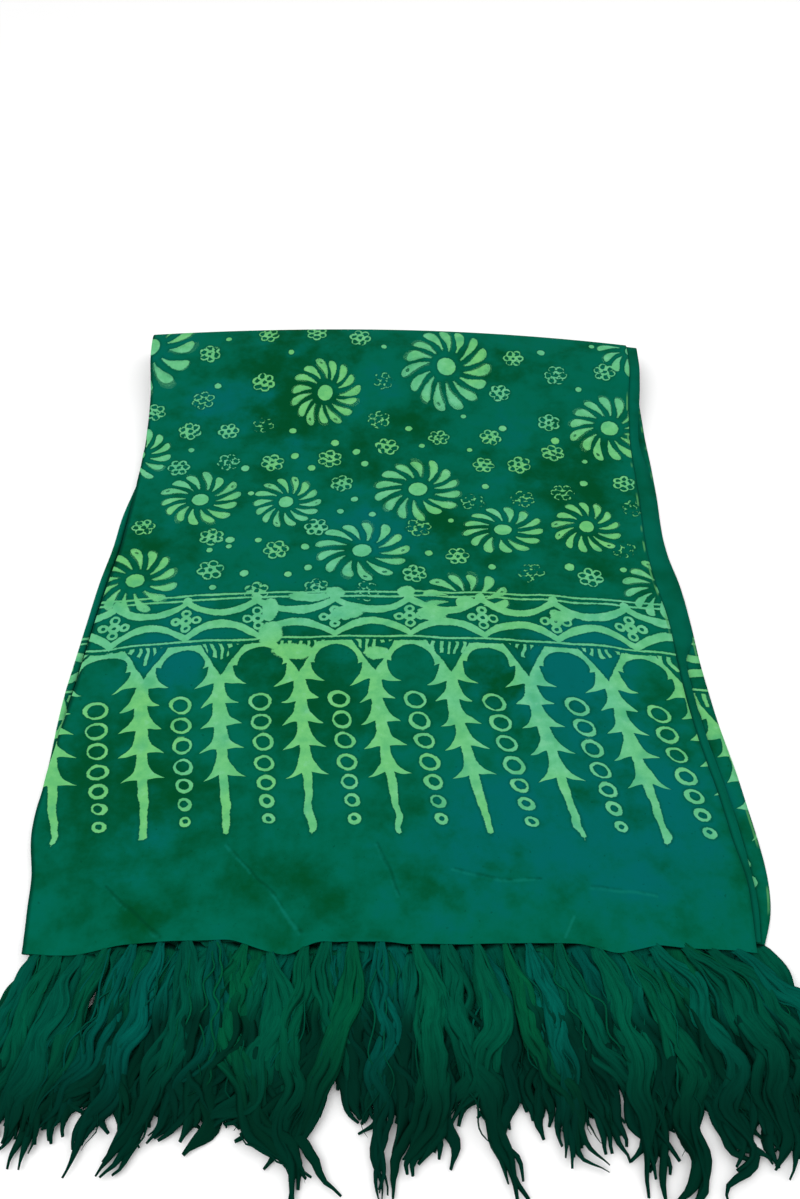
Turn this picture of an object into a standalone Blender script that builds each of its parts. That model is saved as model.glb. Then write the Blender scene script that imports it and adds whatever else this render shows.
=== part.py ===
"""A batik sarong with fringed ends, folded in half both ways and laid flat.

Metres, +Z up. X runs across the folded cloth and Y along it, from the fringe to the far fold.
The cloth is one rectangle. Its first fold, down the middle, lies on the left, and its second
lies at the far end, so two pairs of layers lie on each other and all four fringed edges come
together at the near end. The second fold isn't pressed: it stands up as a soft loop.

Below, "across" is measured from the stack's middle line and "along" from its fringed hem.
"""

import math
import random
from collections import namedtuple

import bmesh
import bpy
import numpy as np
from mathutils import Vector

NAME = "sarong"

# The origin stands under the middle of the whole part, so its plan is moved by this much.
MIDDLE_ACROSS = 0.0015
MIDDLE_ALONG = 0.318

# Cloth and the clearance between pieces.
WALL = 0.0012
SEAM = 0.0003
LAYER_CLEARANCE = 0.0005
PAIR_FOLD_RADIUS = 0.0026
STACK_HEIGHT = 0.0062

# The far fold: how high the loop stands, where the cloth starts to rise, and the loop's own depth.
LOOP_HEIGHT = 0.034
LOOP_DEPTH = 0.014
RISE_START = 0.50
RISE_END_FROM_TURN = 0.035
RISE_EASE = 1.6
SLOPE_STEP = 0.004
TURN_ALONG = 0.803
TURN_CENTRE = -0.05
TURN_DRAWN_IN_LEFT = 0.20
TURN_DRAWN_IN_RIGHT = 0.27
LOOP_LOWER_ON_RIGHT = 0.15
HALF_WIDTH = 0.30

# The edges of the layers, one row for each station along the stack.
Station = namedtuple("Station", "along top_left top_right second_right lower_left lower_right")
PLAN = (
    Station(0.00, -0.288, 0.272, 0.277, -0.286, 0.280),
    Station(0.03, -0.293, 0.276, 0.282, -0.291, 0.292),
    Station(0.06, -0.297, 0.278, 0.284, -0.295, 0.297),
    Station(0.10, -0.306, 0.274, 0.283, -0.305, 0.297),
    Station(0.15, -0.307, 0.271, 0.280, -0.308, 0.295),
    Station(0.20, -0.305, 0.266, 0.275, -0.309, 0.291),
    Station(0.27, -0.302, 0.263, 0.272, -0.306, 0.287),
    Station(0.34, -0.300, 0.264, 0.272, -0.304, 0.287),
    Station(0.40, -0.297, 0.260, 0.269, -0.302, 0.286),
    Station(0.45, -0.294, 0.258, 0.267, -0.298, 0.281),
    Station(0.50, -0.294, 0.261, 0.270, -0.297, 0.282),
    Station(0.56, -0.294, 0.264, 0.272, -0.294, 0.286),
    Station(0.63, -0.295, 0.266, 0.274, -0.294, 0.288),
    Station(0.70, -0.300, 0.273, 0.280, -0.299, 0.291),
    Station(0.76, -0.308, 0.281, 0.287, -0.307, 0.295),
    Station(0.82, -0.313, 0.285, 0.291, -0.312, 0.298),
)

# Soft creases that stand up in the top layer, most of them in its plain end.
Crease = namedtuple("Crease", "from_across from_along to_across to_along height half_width")
CREASES = (
    Crease(-0.25, 0.050, -0.18, 0.000, 0.0022, 0.014),
    Crease(-0.15, 0.090, -0.07, 0.005, 0.0026, 0.014),
    Crease(-0.02, 0.095, 0.00, 0.030, 0.0016, 0.012),
    Crease(0.05, 0.062, 0.12, 0.052, 0.0012, 0.012),
    Crease(0.16, 0.050, 0.22, 0.040, 0.0014, 0.012),
    Crease(-0.27, 0.200, -0.20, 0.330, 0.0014, 0.022),
    Crease(0.10, 0.470, 0.20, 0.300, 0.0012, 0.024),
    Crease(-0.10, 0.640, 0.05, 0.520, 0.0014, 0.028),
)
SWELL_HEIGHT = 0.0010
SWELL_ACROSS = 0.23
SWELL_ALONG = 0.31

# How finely each layer is meshed.
TOP_CELLS_ACROSS = 26
CORE_CELLS_ACROSS = 12
LOWER_CELLS_ACROSS = 12
FOLD_CELLS = 3
NEAR_CELLS = 8
MIDDLE_CELLS = 8
RISE_CELLS = 9
TURN_CELLS = 8
LOWER_CELLS_ALONG = 16
NEAR_SHARE = 0.15
MIDDLE_SHARE = 0.60

# The hidden layers: the lip that each shows at the sides, and how far the solid lies back between.
LIP = 0.0012
LIP_SETBACK = 0.008
CORE_SIDE_CLEARANCE = 0.0032
CORE_END_ANGLE = math.radians(78)
CORE_END_CELLS = 4

# The fringe. Each fringed edge has a narrow strip, and its locks leave the strip side by side.
LOCKS = 42
STRIP_DEPTH = 0.003
STRIP_HEIGHT = 0.0011
STRIP_LOWEST = 0.00035
STRIP_PITCH = 0.0016
STRIP_SIDE_MARGIN = 0.004
LOCK_HEIGHT = 0.0019
LOCK_LOWEST = 0.0004
LOCK_PITCH = 0.0023
LOCK_WIDTH = 0.0105
LOCK_ROOT_SHARE = 0.45
LOCK_TIP_SHARE = 0.45
LOCK_TOP_SHARE = 0.62
LOCK_SWING = 0.0045
SWING_ACROSS = 21
SWING_PER_ROW = 1.9
SWING_ALONG = 5
LOCK_JITTER = 0.0012
LEAN_LEFT = -0.022
LEAN_RIGHT = 0.047
LEAN_DISTANCE = 0.05
FRINGE_REACH = 0.178
Fringe = namedtuple("Fringe", "name left right shortest longest waypoints")
FRINGES = (
    Fringe("lower_fringe", "lower_left", "lower_right", 0.086, 0.102, (0.010, 0.055)),
    Fringe("third_fringe", "lower_left", "second_right", 0.109, 0.121, (0.010, 0.055, 0.104)),
    Fringe("second_fringe", "top_left", "second_right", 0.127, 0.140, (0.010, 0.050, 0.090, 0.123)),
    Fringe("top_fringe", "top_left", "top_right", 0.147, FRINGE_REACH, (0.010, 0.050, 0.095, 0.142)),
)

# Colour, roughness and metallic value of each finish.
Finish = namedtuple("Finish", "colour roughness metallic")
FINISHES = {
    "top_leaf": Finish((0.004, 0.125, 0.080), 0.62, 0.0),
    "folded_layers": Finish((0.003, 0.105, 0.078), 0.64, 0.0),
    "lower_leaf": Finish((0.004, 0.112, 0.070), 0.64, 0.0),
    "top_fringe": Finish((0.002, 0.082, 0.055), 0.70, 0.0),
    "second_fringe": Finish((0.002, 0.070, 0.047), 0.72, 0.0),
    "third_fringe": Finish((0.002, 0.058, 0.040), 0.74, 0.0),
    "lower_fringe": Finish((0.002, 0.048, 0.034), 0.74, 0.0),
}


def edge(column, along):
    """How far across a layer's edge lies at this place along, on a smooth line through the plan."""
    rows = [(station.along, getattr(station, column)) for station in PLAN]
    place = min(max(along, rows[0][0]), rows[-1][0])
    upper = next(i for i in range(1, len(rows)) if rows[i][0] >= place)
    (a0, e0), (a1, e1) = rows[upper - 1], rows[upper]
    before = rows[max(upper - 2, 0)]
    after = rows[min(upper + 1, len(rows) - 1)]
    slope0 = (e1 - before[1]) / (a1 - before[0])
    slope1 = (after[1] - e0) / (after[0] - a0)
    span = a1 - a0
    t = (place - a0) / span
    return (
        e0 * (1 + 2 * t) * (1 - t) ** 2
        + span * slope0 * t * (1 - t) ** 2
        + e1 * t * t * (3 - 2 * t)
        - span * slope1 * t * t * (1 - t)
    )


def turn(across):
    """Where the loop at the far end begins to turn down. It is drawn in towards both corners."""
    drawn_in = TURN_DRAWN_IN_LEFT if across < TURN_CENTRE else TURN_DRAWN_IN_RIGHT
    return TURN_ALONG - drawn_in * (across - TURN_CENTRE) ** 2


def loop_height(across):
    share = (across + HALF_WIDTH) / (2 * HALF_WIDTH)
    return LOOP_HEIGHT * (1 - LOOP_LOWER_ON_RIGHT * share * share)


def stack_height(across, along):
    """The plain height of the stack, without creases: level, then rising to the loop."""
    rise_end = turn(across) - RISE_END_FROM_TURN
    t = min(max((along - RISE_START) / (rise_end - RISE_START), 0), 1)
    return STACK_HEIGHT + (loop_height(across) - STACK_HEIGHT) * t * t * (RISE_EASE - (RISE_EASE - 1) * t)


def relief(across, along):
    """How far creases and broad swells lift the top layer."""
    place = Vector((across, along))
    lift = SWELL_HEIGHT * 0.5 * (
        1 + math.sin(math.tau * across / SWELL_ACROSS) * math.sin(math.tau * along / SWELL_ALONG)
    )
    for crease in CREASES:
        start = Vector((crease.from_across, crease.from_along))
        run = Vector((crease.to_across, crease.to_along)) - start
        t = min(max((place - start).dot(run) / run.length_squared, 0), 1)
        apart = (place - start - run * t).length / crease.half_width
        lift += crease.height * math.exp(-apart * apart)
    return lift


def stations_along():
    """Shares of the way from the hem to the turn, closer where the cloth creases and rises."""
    near = np.linspace(0, NEAR_SHARE, NEAR_CELLS + 1)
    middle = np.linspace(NEAR_SHARE, MIDDLE_SHARE, MIDDLE_CELLS + 1)
    rise = np.linspace(MIDDLE_SHARE, 1, RISE_CELLS + 1)
    return [float(share) for share in (*near, *middle[1:], *rise[1:])]


def on_top(across, share, turned):
    """A point of the top layer's outer face and the face's direction there, both (along, up)."""
    if turned > 0:
        half = loop_height(across) / 2
        point = (turn(across) + LOOP_DEPTH * math.sin(turned), half * (1 + math.cos(turned)))
        facing = Vector((math.sin(turned) / LOOP_DEPTH, math.cos(turned) / half)).normalized()
        return Vector(point), facing
    along = share * turn(across)
    before = stack_height(across, along - SLOPE_STEP)
    after = stack_height(across, along + SLOPE_STEP)
    slope = (after - before) / (2 * SLOPE_STEP)
    lift = relief(across, along) * min(1, (turn(across) - along) / RISE_END_FROM_TURN)
    point = Vector((along, stack_height(across, along) + lift))
    return point, Vector((-slope, 1)).normalized()


def in_place(across, along, up):
    return Vector((across - MIDDLE_ACROSS, along - MIDDLE_ALONG, up))


def finish_of(name):
    finish = FINISHES[name]
    material = bpy.data.materials.new(name)
    material.use_nodes = True
    shader = material.node_tree.nodes["Principled BSDF"]
    shader.inputs["Base Color"].default_value = (*finish.colour, 1)
    shader.inputs["Roughness"].default_value = finish.roughness
    shader.inputs["Metallic"].default_value = finish.metallic
    material.diffuse_color = (*finish.colour, 1)
    return material


def new_object(name, bm, collection):
    """A named object from this bmesh, with its own finish."""
    mesh = bpy.data.meshes.new(name)
    bm.to_mesh(mesh)
    bm.free()
    mesh.shade_smooth()
    mesh.materials.append(finish_of(name))
    obj = bpy.data.objects.new(name, mesh)
    collection.objects.link(obj)
    return obj


def skin(bm, rows):
    """Faces between rows of points, each row joined to the next."""
    grid = [[bm.verts.new(point) for point in row] for row in rows]
    for row, following in zip(grid, grid[1:]):
        for i in range(len(row) - 1):
            bm.faces.new((row[i], row[i + 1], following[i + 1], following[i]))


def wall(name, rows, collection):
    """A cloth wall: the outer face is skinned from the rows, and thickened inwards."""
    bm = bmesh.new()
    skin(bm, rows)
    obj = new_object(name, bm, collection)
    solidify = obj.modifiers.new("cloth", "SOLIDIFY")
    solidify.thickness = WALL
    solidify.offset = -1
    solidify.use_even_offset = True
    solidify.use_rim = True


def across_fold(left, right, cells):
    """Places across a layer, as (across, sunk): round its fold on the left, then on to its free edge."""
    angles = [math.radians(90) * i / FOLD_CELLS for i in range(FOLD_CELLS)]
    rolled = [
        (left + PAIR_FOLD_RADIUS * (1 - math.cos(a)), PAIR_FOLD_RADIUS * (1 - math.sin(a)))
        for a in angles
    ]
    start = left + PAIR_FOLD_RADIUS
    level = [(start + (right - start) * i / cells, 0.0) for i in range(cells + 1)]
    return rolled + level


def top_leaf(collection):
    """The layer on top, with its fold on the left, from the hem over the loop to the underside."""
    places = [(share, 0.0) for share in stations_along()]
    places += [(1.0, math.pi * i / TURN_CELLS) for i in range(1, TURN_CELLS + 1)]
    rows = []
    for share, turned in places:
        along = share * TURN_ALONG
        left, right = edge("top_left", along), edge("top_right", along)
        row = []
        for across, sunk in across_fold(left, right, TOP_CELLS_ACROSS):
            point, facing = on_top(across, share, turned)
            point = point - facing * sunk
            row.append(in_place(across, point.x, point.y))
        rows.append(row)
    wall("top_leaf", rows, collection)


def lower_leaf(collection):
    """The layer that lies on the ground, flat, with its fold on the left."""
    rows = []
    for i in range(LOWER_CELLS_ALONG + 1):
        share = i / LOWER_CELLS_ALONG
        along = share * TURN_ALONG
        left, right = edge("lower_left", along), edge("lower_right", along)
        rows.append(
            [
                in_place(across, share * (turn(across) - SEAM), sunk)
                for across, sunk in across_fold(left, right, LOWER_CELLS_ACROSS)
            ]
        )
    wall("lower_leaf", rows[::-1], collection)


def core_ring(share, turned):
    """One section of the hidden layers, as a closed ring of points with a lip for each layer."""
    along = share * TURN_ALONG
    left = max(edge("top_left", along), edge("lower_left", along)) + CORE_SIDE_CLEARANCE
    right = edge("second_right", along)
    inset = WALL + LAYER_CLEARANCE

    def heights(across):
        height = stack_height(across, share * turn(across))
        middle = height / 2
        half = (height / 2 - inset) * math.cos(turned)
        return middle - half, middle + half

    def point(across, up):
        return in_place(across, share * turn(across) + (LOOP_DEPTH - inset) * math.sin(turned), up)

    def lips(side, inward):
        low, high = heights(side)
        back = side + inward * LIP_SETBACK
        corners = ((side, high - LIP), (back, high - LIP), (back, low + LIP), (side, low + LIP))
        return [point(across, up) for across, up in corners]

    places = [left + (right - left) * i / CORE_CELLS_ACROSS for i in range(CORE_CELLS_ACROSS + 1)]
    top = [point(across, heights(across)[1]) for across in places]
    bottom = [point(across, heights(across)[0]) for across in reversed(places)]
    return top + lips(right, -1) + bottom + lips(left, 1)[::-1]


def loft(bm, rings):
    """A closed body through rings of points, capped at both ends. Returns its sides, ring by ring."""
    drawn = [[bm.verts.new(point) for point in ring] for ring in rings]
    sides = []
    for ring, following in zip(drawn, drawn[1:]):
        count = len(ring)
        sides.append(
            [
                bm.faces.new((ring[i], ring[(i + 1) % count], following[(i + 1) % count], following[i]))
                for i in range(count)
            ]
        )
    bm.faces.new(drawn[0][::-1])
    bm.faces.new(drawn[-1])
    return sides


def folded_layers(collection):
    """The hidden layers as one rounded solid. The second layer's selvedge is its upper right lip."""
    places = [(share, 0.0) for share in stations_along()]
    places += [(1.0, CORE_END_ANGLE * i / CORE_END_CELLS) for i in range(1, CORE_END_CELLS + 1)]
    bm = bmesh.new()
    loft(bm, [core_ring(share, turned) for share, turned in places])
    bmesh.ops.recalc_face_normals(bm, faces=bm.faces)
    new_object("folded_layers", bm, collection)


def lock_section(face, centre, width, height):
    """Moves a lock's end face to this centre and size. Its upper side is narrower than its lower."""
    middle = face.calc_center_median()
    for vert in face.verts:
        above = vert.co.z > middle.z
        half_width = width / 2 * (LOCK_TOP_SHARE if above else 1)
        vert.co = centre + Vector(
            (
                half_width if vert.co.x > middle.x else -half_width,
                0,
                height / 2 if above else -height / 2,
            )
        )


def grow_lock(bm, face, fringe, level, share, drawn):
    """Draws one lock out of its root face, through the fringe's waypoints to its tip."""
    root = face.calc_center_median()
    length = fringe.shortest + (fringe.longest - fringe.shortest) * drawn.random()
    lean = LEAN_LEFT * (1 - 2 * share) if share < 0.5 else LEAN_RIGHT * (2 * share - 1)
    phase = SWING_ACROSS * share + SWING_PER_ROW * level
    jitter = drawn.uniform(-LOCK_JITTER, LOCK_JITTER)
    lying = LOCK_LOWEST + LOCK_HEIGHT / 2
    for place in (*fringe.waypoints, length):
        out = place / FRINGE_REACH
        tip = place == length
        swing = LOCK_SWING * out * math.sin(phase + SWING_ALONG * out)
        up = lying + (0 if tip else level * LOCK_PITCH)
        aside = lean * (1 - math.exp(-place / LEAN_DISTANCE)) + swing + jitter * out
        centre = Vector((root.x + aside, root.y - place, up))
        width = LOCK_WIDTH * (LOCK_TIP_SHARE if tip else 1)
        face = bmesh.ops.extrude_discrete_faces(bm, faces=[face])["faces"][0]
        lock_section(face, centre, width, LOCK_HEIGHT)


def fringe_comb(fringe, level, collection):
    """One fringed edge: a narrow strip beside the hem, with locks that leave it side by side."""
    left = edge(fringe.left, 0) + STRIP_SIDE_MARGIN
    right = edge(fringe.right, 0) - STRIP_SIDE_MARGIN
    pitch = (right - left) / LOCKS
    root = pitch * LOCK_ROOT_SHARE
    cuts = [left]
    for lock in range(LOCKS):
        middle = left + pitch * (lock + 0.5)
        cuts += [middle - root / 2, middle + root / 2]
    cuts.append(right)
    low = STRIP_LOWEST + level * STRIP_PITCH
    high = low + STRIP_HEIGHT
    rings = [
        [
            in_place(across, -SEAM - STRIP_DEPTH, low),
            in_place(across, -SEAM - STRIP_DEPTH, high),
            in_place(across, -SEAM, high),
            in_place(across, -SEAM, low),
        ]
        for across in cuts
    ]
    bm = bmesh.new()
    sides = loft(bm, rings)
    bm.normal_update()
    drawn = random.Random(fringe.name)
    for lock in range(LOCKS):
        near_face = sides[1 + 2 * lock][0]
        grow_lock(bm, near_face, fringe, level, (lock + 0.5) / LOCKS, drawn)
    bmesh.ops.recalc_face_normals(bm, faces=bm.faces)
    new_object(fringe.name, bm, collection)


def build():
    for obj in list(bpy.data.objects):
        bpy.data.objects.remove(obj, do_unlink=True)
    collection = bpy.data.collections.new(NAME)
    bpy.context.scene.collection.children.link(collection)
    lower_leaf(collection)
    folded_layers(collection)
    top_leaf(collection)
    for level, fringe in enumerate(FRINGES):
        fringe_comb(fringe, level, collection)


build()
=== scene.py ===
import math
from collections import namedtuple

import bpy
import numpy as np
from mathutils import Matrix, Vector


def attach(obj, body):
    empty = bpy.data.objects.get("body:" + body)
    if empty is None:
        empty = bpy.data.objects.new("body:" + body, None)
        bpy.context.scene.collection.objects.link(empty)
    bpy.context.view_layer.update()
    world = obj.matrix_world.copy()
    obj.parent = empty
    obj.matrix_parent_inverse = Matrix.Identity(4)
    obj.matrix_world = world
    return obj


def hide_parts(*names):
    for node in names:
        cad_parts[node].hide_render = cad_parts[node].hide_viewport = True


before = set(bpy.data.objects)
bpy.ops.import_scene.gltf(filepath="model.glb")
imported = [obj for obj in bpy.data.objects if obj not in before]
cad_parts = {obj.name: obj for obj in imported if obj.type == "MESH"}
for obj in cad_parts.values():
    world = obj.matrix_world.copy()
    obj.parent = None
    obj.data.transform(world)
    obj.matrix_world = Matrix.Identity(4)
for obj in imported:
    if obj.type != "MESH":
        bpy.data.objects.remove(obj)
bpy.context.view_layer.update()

# A batik sarong, folded in half both ways and laid flat, with all four fringed edges at the near
# end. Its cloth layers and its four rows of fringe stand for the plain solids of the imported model.
# "Across" is measured from the stack's middle line and "along" from its fringed hem, in metres.

# Where the frame's origin lies in the stack.
MIDDLE_ACROSS = 0.0015
MIDDLE_ALONG = 0.318

# The stack. Its loop is 1.5 mm higher and its turn 3 mm further out than in the solids.
STACK_HEIGHT = 0.0062
LOOP_HEIGHT = 0.0355
LOOP_DEPTH = 0.014
RISE_START = 0.50
RISE_END_FROM_TURN = 0.035
RISE_EASE = 1.6
SLOPE_STEP = 0.004
TURN_ALONG = 0.806
TURN_CENTRE = -0.05
TURN_DRAWN_IN_LEFT = 0.20
TURN_DRAWN_IN_RIGHT = 0.27
LOOP_LOWER_ON_RIGHT = 0.15
HALF_WIDTH = 0.30

# Where each layer's edges lie across, at places along the stack.
Station = namedtuple("Station", "along top_left top_right second_right lower_left lower_right")
PLAN = [Station(*row) for row in (
    (0.00, -0.288, 0.272, 0.277, -0.286, 0.280),
    (0.03, -0.293, 0.276, 0.282, -0.291, 0.292),
    (0.06, -0.297, 0.278, 0.284, -0.295, 0.297),
    (0.10, -0.306, 0.274, 0.283, -0.305, 0.297),
    (0.15, -0.307, 0.271, 0.280, -0.308, 0.295),
    (0.20, -0.305, 0.266, 0.275, -0.309, 0.291),
    (0.27, -0.302, 0.263, 0.272, -0.306, 0.287),
    (0.34, -0.300, 0.264, 0.272, -0.304, 0.287),
    (0.40, -0.297, 0.260, 0.269, -0.302, 0.286),
    (0.45, -0.294, 0.258, 0.267, -0.298, 0.281),
    (0.50, -0.294, 0.261, 0.270, -0.297, 0.282),
    (0.56, -0.294, 0.264, 0.272, -0.294, 0.286),
    (0.63, -0.295, 0.266, 0.274, -0.294, 0.288),
    (0.70, -0.300, 0.273, 0.280, -0.299, 0.291),
    (0.76, -0.308, 0.281, 0.287, -0.307, 0.295),
    (0.82, -0.313, 0.285, 0.291, -0.312, 0.298),
)]

# Soft ridges in the cloth, each from one place to another.
Crease = namedtuple("Crease", "from_across from_along to_across to_along height half_width")
SOFT_CREASES = [Crease(*row) for row in (
    (-0.25, 0.050, -0.18, 0.000, 0.0022, 0.014),
    (-0.15, 0.090, -0.07, 0.005, 0.0026, 0.014),
    (-0.02, 0.095, 0.00, 0.030, 0.0016, 0.012),
    (0.05, 0.062, 0.12, 0.052, 0.0012, 0.012),
    (0.16, 0.050, 0.22, 0.040, 0.0014, 0.012),
    (-0.27, 0.200, -0.20, 0.330, 0.0014, 0.022),
    (0.10, 0.470, 0.20, 0.300, 0.0012, 0.024),
    (-0.10, 0.640, 0.05, 0.520, 0.0014, 0.028),
)]
# Thin pressed lines beside them, as points (across, along) in centimetres: each is a slight dent with
# painted shade along it and a painted highlight on its lit side.
PRESSED_LINES = (
    ((-23.4, 4.9), (-21.6, 3.3), (-18.4, 0.5)),
    ((-14.2, 8.6), (-11.4, 5.6), (-9.4, 3.6), (-7.6, 1.2)),
    ((-1.9, 8.8), (-0.9, 6.6), (0.0, 4.2)),
    ((4.4, 6.5), (7.4, 5.7), (11.2, 5.6)),
    ((15.4, 5.0), (20.4, 4.2)),
    ((13.8, 2.6), (12.9, 0.6)),
)
LIT_ASIDE = 0.14
PRESSED_HALF = 0.24

# Broad swells and small waves.
SWELL_HEIGHT = 0.0010
SWELL_ACROSS = 0.23
SWELL_ALONG = 0.31
RIPPLES = 16
RIPPLE_SHORTEST = 0.022
RIPPLE_LONGEST = 0.085
RIPPLE_HEIGHT = 0.00034
RIPPLE_BEND = 0.35
RIPPLE_BEND_LENGTH = 0.19
RIPPLE_SEED = 7

# The cloth as it is dressed: thinner than the solids' walls. COVER is the stretch along the stack
# where the second layer's selvedge hides the lower layer, and PEEK the one where the lower layer
# shows on the left.
THICKNESS = 0.0007
LAYER_GAP = 0.0018
FOLD_RADIUS = 0.00125
TUCKED_IN = 0.007
UNLINED_BELOW = 0.33
STRIP_WIDENS = 0.007
WIDENS_FROM = 0.74
COVER_FROM = 0.290
COVER_TO = 0.66
COVER_SHORT = 0.0005
COVER_DROOP = 0.0016
LEFT_PEEK = 0.0055
PEEK_FROM = 0.17
PEEK_TO = 0.60
# The two values below narrow the painted shadow line beside a layer's edge, more towards the far end.
FAINT_BESIDE = 0.0012
FAINTER_BESIDE = 0.0045
FOLD_STEPS = 6
ACROSS_STEPS = 158
NEAR_LENGTH = 0.13
NEAR_STEPS = 48
FAR_STEPS = 156
TURN_STEPS = 14
SECOND_STEPS = 60
LOWER_STEPS = 120
CLOTH_OVER_LOOP = 0.049

# The hem of the top layer hangs back in shallow scallops between the locks: (across, along).
HEM = (
    (-0.300, -0.006), (-0.267, -0.008), (-0.247, -0.008), (-0.214, 0.000), (-0.185, 0.002),
    (-0.130, 0.005), (-0.105, -0.004), (-0.086, -0.009), (-0.062, 0.003), (-0.004, 0.003),
    (0.002, 0.001), (0.059, 0.001), (0.137, 0.002), (0.166, -0.007), (0.197, 0.000),
    (0.244, -0.004), (0.280, -0.007),
)
HEM_REACH = 0.05
HEM_SMOOTHED = 0.004
HEM_ROLL = 0.0012
HEM_ROLL_WIDTH = 0.0035
HEM_SET_BACK = 0.004

# The border's own places on the cloth. A period runs from one cusp of its festoons to the next.
CUSPS_FAR = (-0.352, -0.282, -0.213, -0.144, -0.065, 0.009, 0.080, 0.153, 0.223, 0.294)
CUSPS_NEAR = (-0.350, -0.279, -0.208, -0.136, -0.063, 0.011, 0.083, 0.153, 0.227, 0.299)
STEMS = (-0.322, -0.238, -0.167, -0.091, -0.021, 0.049, 0.123, 0.198, 0.268)
TAILS = (-0.287, -0.211, -0.143, -0.073, 0.001, 0.075, 0.151, 0.221, 0.294)
ROWS_ALONG = (0.095, 0.237, 0.308, 0.365)
BOW_CENTRE = -0.03
BOW_WIDTH = 0.26
BOW_ALONG = (0.09, 0.30, 0.37)
BOW = (0.012, 0.019, 0.014)
PERIOD = 72.0
LOWER_BORDER_SHIFT = 0.040
LOWER_ACROSS_SHIFT = -0.025

# The field's large flowers, in centimetres on the cloth: where, how wide and long, how many petals.
Flower = namedtuple("Flower", "across along wide long petals turned")
FLOWERS = [Flower(*row) for row in (
    (-31.2, 76.8, 6.3, 9.0, 13, 0.1), (5.7, 73.5, 5.6, 7.8, 15, 0.2),
    (29.0, 76.5, 4.5, 5.4, 13, 0.5), (-9.0, 69.0, 4.4, 6.0, 15, 0.0),
    (24.5, 63.0, 5.0, 5.6, 14, 0.3), (-30.0, 58.5, 4.1, 4.4, 13, 0.2),
    (-22.0, 51.5, 4.6, 4.5, 14, 0.4), (-12.5, 51.0, 3.9, 4.1, 14, 0.1),
    (2.0, 53.0, 5.1, 5.1, 14, 0.3), (20.0, 47.0, 3.8, 4.2, 13, 0.0),
    (11.0, 46.5, 4.6, 3.9, 13, 0.2), (-4.0, 43.5, 5.1, 4.6, 13, 0.1),
    (-27.0, 39.0, 4.6, 4.9, 13, 0.3), (26.8, 37.7, 4.4, 4.4, 14, 0.0),
    (6.5, 36.0, 4.7, 4.4, 13, 0.2), (-18.5, 85.5, 4.6, 4.8, 14, 0.0),
    (-3.5, 86.5, 4.4, 4.6, 13, 0.3), (17.5, 85.0, 4.6, 4.6, 14, 0.1),
)]
# The small flowers of ring petals between them, in centimetres on the cloth.
STARS = (
    (-10.5, 80.0), (-16.5, 79.5), (-5.0, 79.0), (-23.5, 75.5), (14.0, 75.0), (19.0, 72.0),
    (25.0, 72.5), (-2.0, 71.0), (-16.5, 70.5), (12.0, 69.0), (-23.5, 67.5), (-29.0, 65.5),
    (-2.5, 64.5), (17.5, 64.0), (-16.0, 63.5), (-24.5, 62.5), (-20.0, 62.5), (4.5, 61.5),
    (10.5, 61.5), (-1.5, 60.0), (17.5, 59.0), (-8.0, 58.0), (-19.5, 57.5), (-14.5, 57.5),
    (9.5, 57.0), (13.5, 57.0), (-25.0, 56.5), (25.0, 54.0), (-6.5, 54.0), (18.0, 52.5),
    (13.5, 51.5), (8.0, 51.0), (25.5, 50.0), (-9.0, 47.0), (2.0, 47.0), (-27.5, 47.0),
    (-20.0, 45.5), (-13.0, 43.5), (23.5, 43.5), (6.0, 42.5), (-19.5, 40.5), (13.5, 40.0),
    (1.5, 40.0), (19.5, 39.5), (-8.5, 38.0), (-14.5, 37.5), (-3.5, 37.5), (-11.0, 86.5),
    (4.5, 84.5), (10.5, 87.0), (24.0, 83.0), (-26.0, 82.5),
)
# Single dots of wax, in centimetres on the cloth.
DOTS = (
    (-21.5, 78.5), (24.0, 77.5), (-2.0, 77.0), (-13.5, 76.0), (17.5, 76.0), (-22.0, 70.0),
    (21.5, 69.5), (7.5, 65.0), (12.0, 63.0), (1.0, 63.0), (-12.5, 62.5), (18.0, 61.0),
    (-7.5, 60.5), (2.5, 60.0), (8.0, 59.5), (-24.0, 59.5), (-5.0, 59.0), (-12.0, 58.5),
    (21.0, 57.5), (-4.0, 57.0), (-17.5, 56.5), (-10.0, 56.5), (20.5, 54.0), (9.5, 53.5),
    (-16.5, 52.5), (-5.0, 51.5), (-6.5, 49.5), (-3.0, 49.0), (5.5, 48.0), (-15.0, 45.0),
    (-18.0, 45.0), (-10.0, 44.0), (-18.0, 44.0), (-20.0, 43.5), (3.0, 43.0), (-9.5, 41.0),
    (9.5, 41.0), (17.5, 41.0), (23.0, 40.5), (-11.5, 40.0), (-16.0, 40.0), (-19.0, 38.0),
    (-7.0, 83.5), (1.5, 82.0), (13.5, 83.5), (20.5, 88.0), (-14.5, 88.0),
)
# Where wax ran together: centre and half sizes, in centimetres.
Blot = namedtuple("Blot", "across along wide long")
BLOTS = [Blot(*row) for row in (
    (-12.9, 35.0, 0.8, 1.5), (-12.6, 31.8, 1.2, 1.5), (-9.2, 36.8, 2.0, 0.7),
    (-5.2, 34.7, 1.6, 0.9), (-10.2, 29.6, 2.0, 1.0), (-6.6, 37.4, 1.1, 0.7),
    (3.2, 34.4, 1.5, 0.9), (-2.2, 29.4, 1.2, 0.8), (16.0, 34.0, 1.2, 0.7),
    (0.6, 37.5, 0.9, 0.7),
)]
STAR_SIZE = 1.34
DOT_SIZE = 0.42
NO_MOTIF = 9.0
LONGER_FROM = 62
FLOWER_SEED = 21
SMALL_SEED = 33

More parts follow.
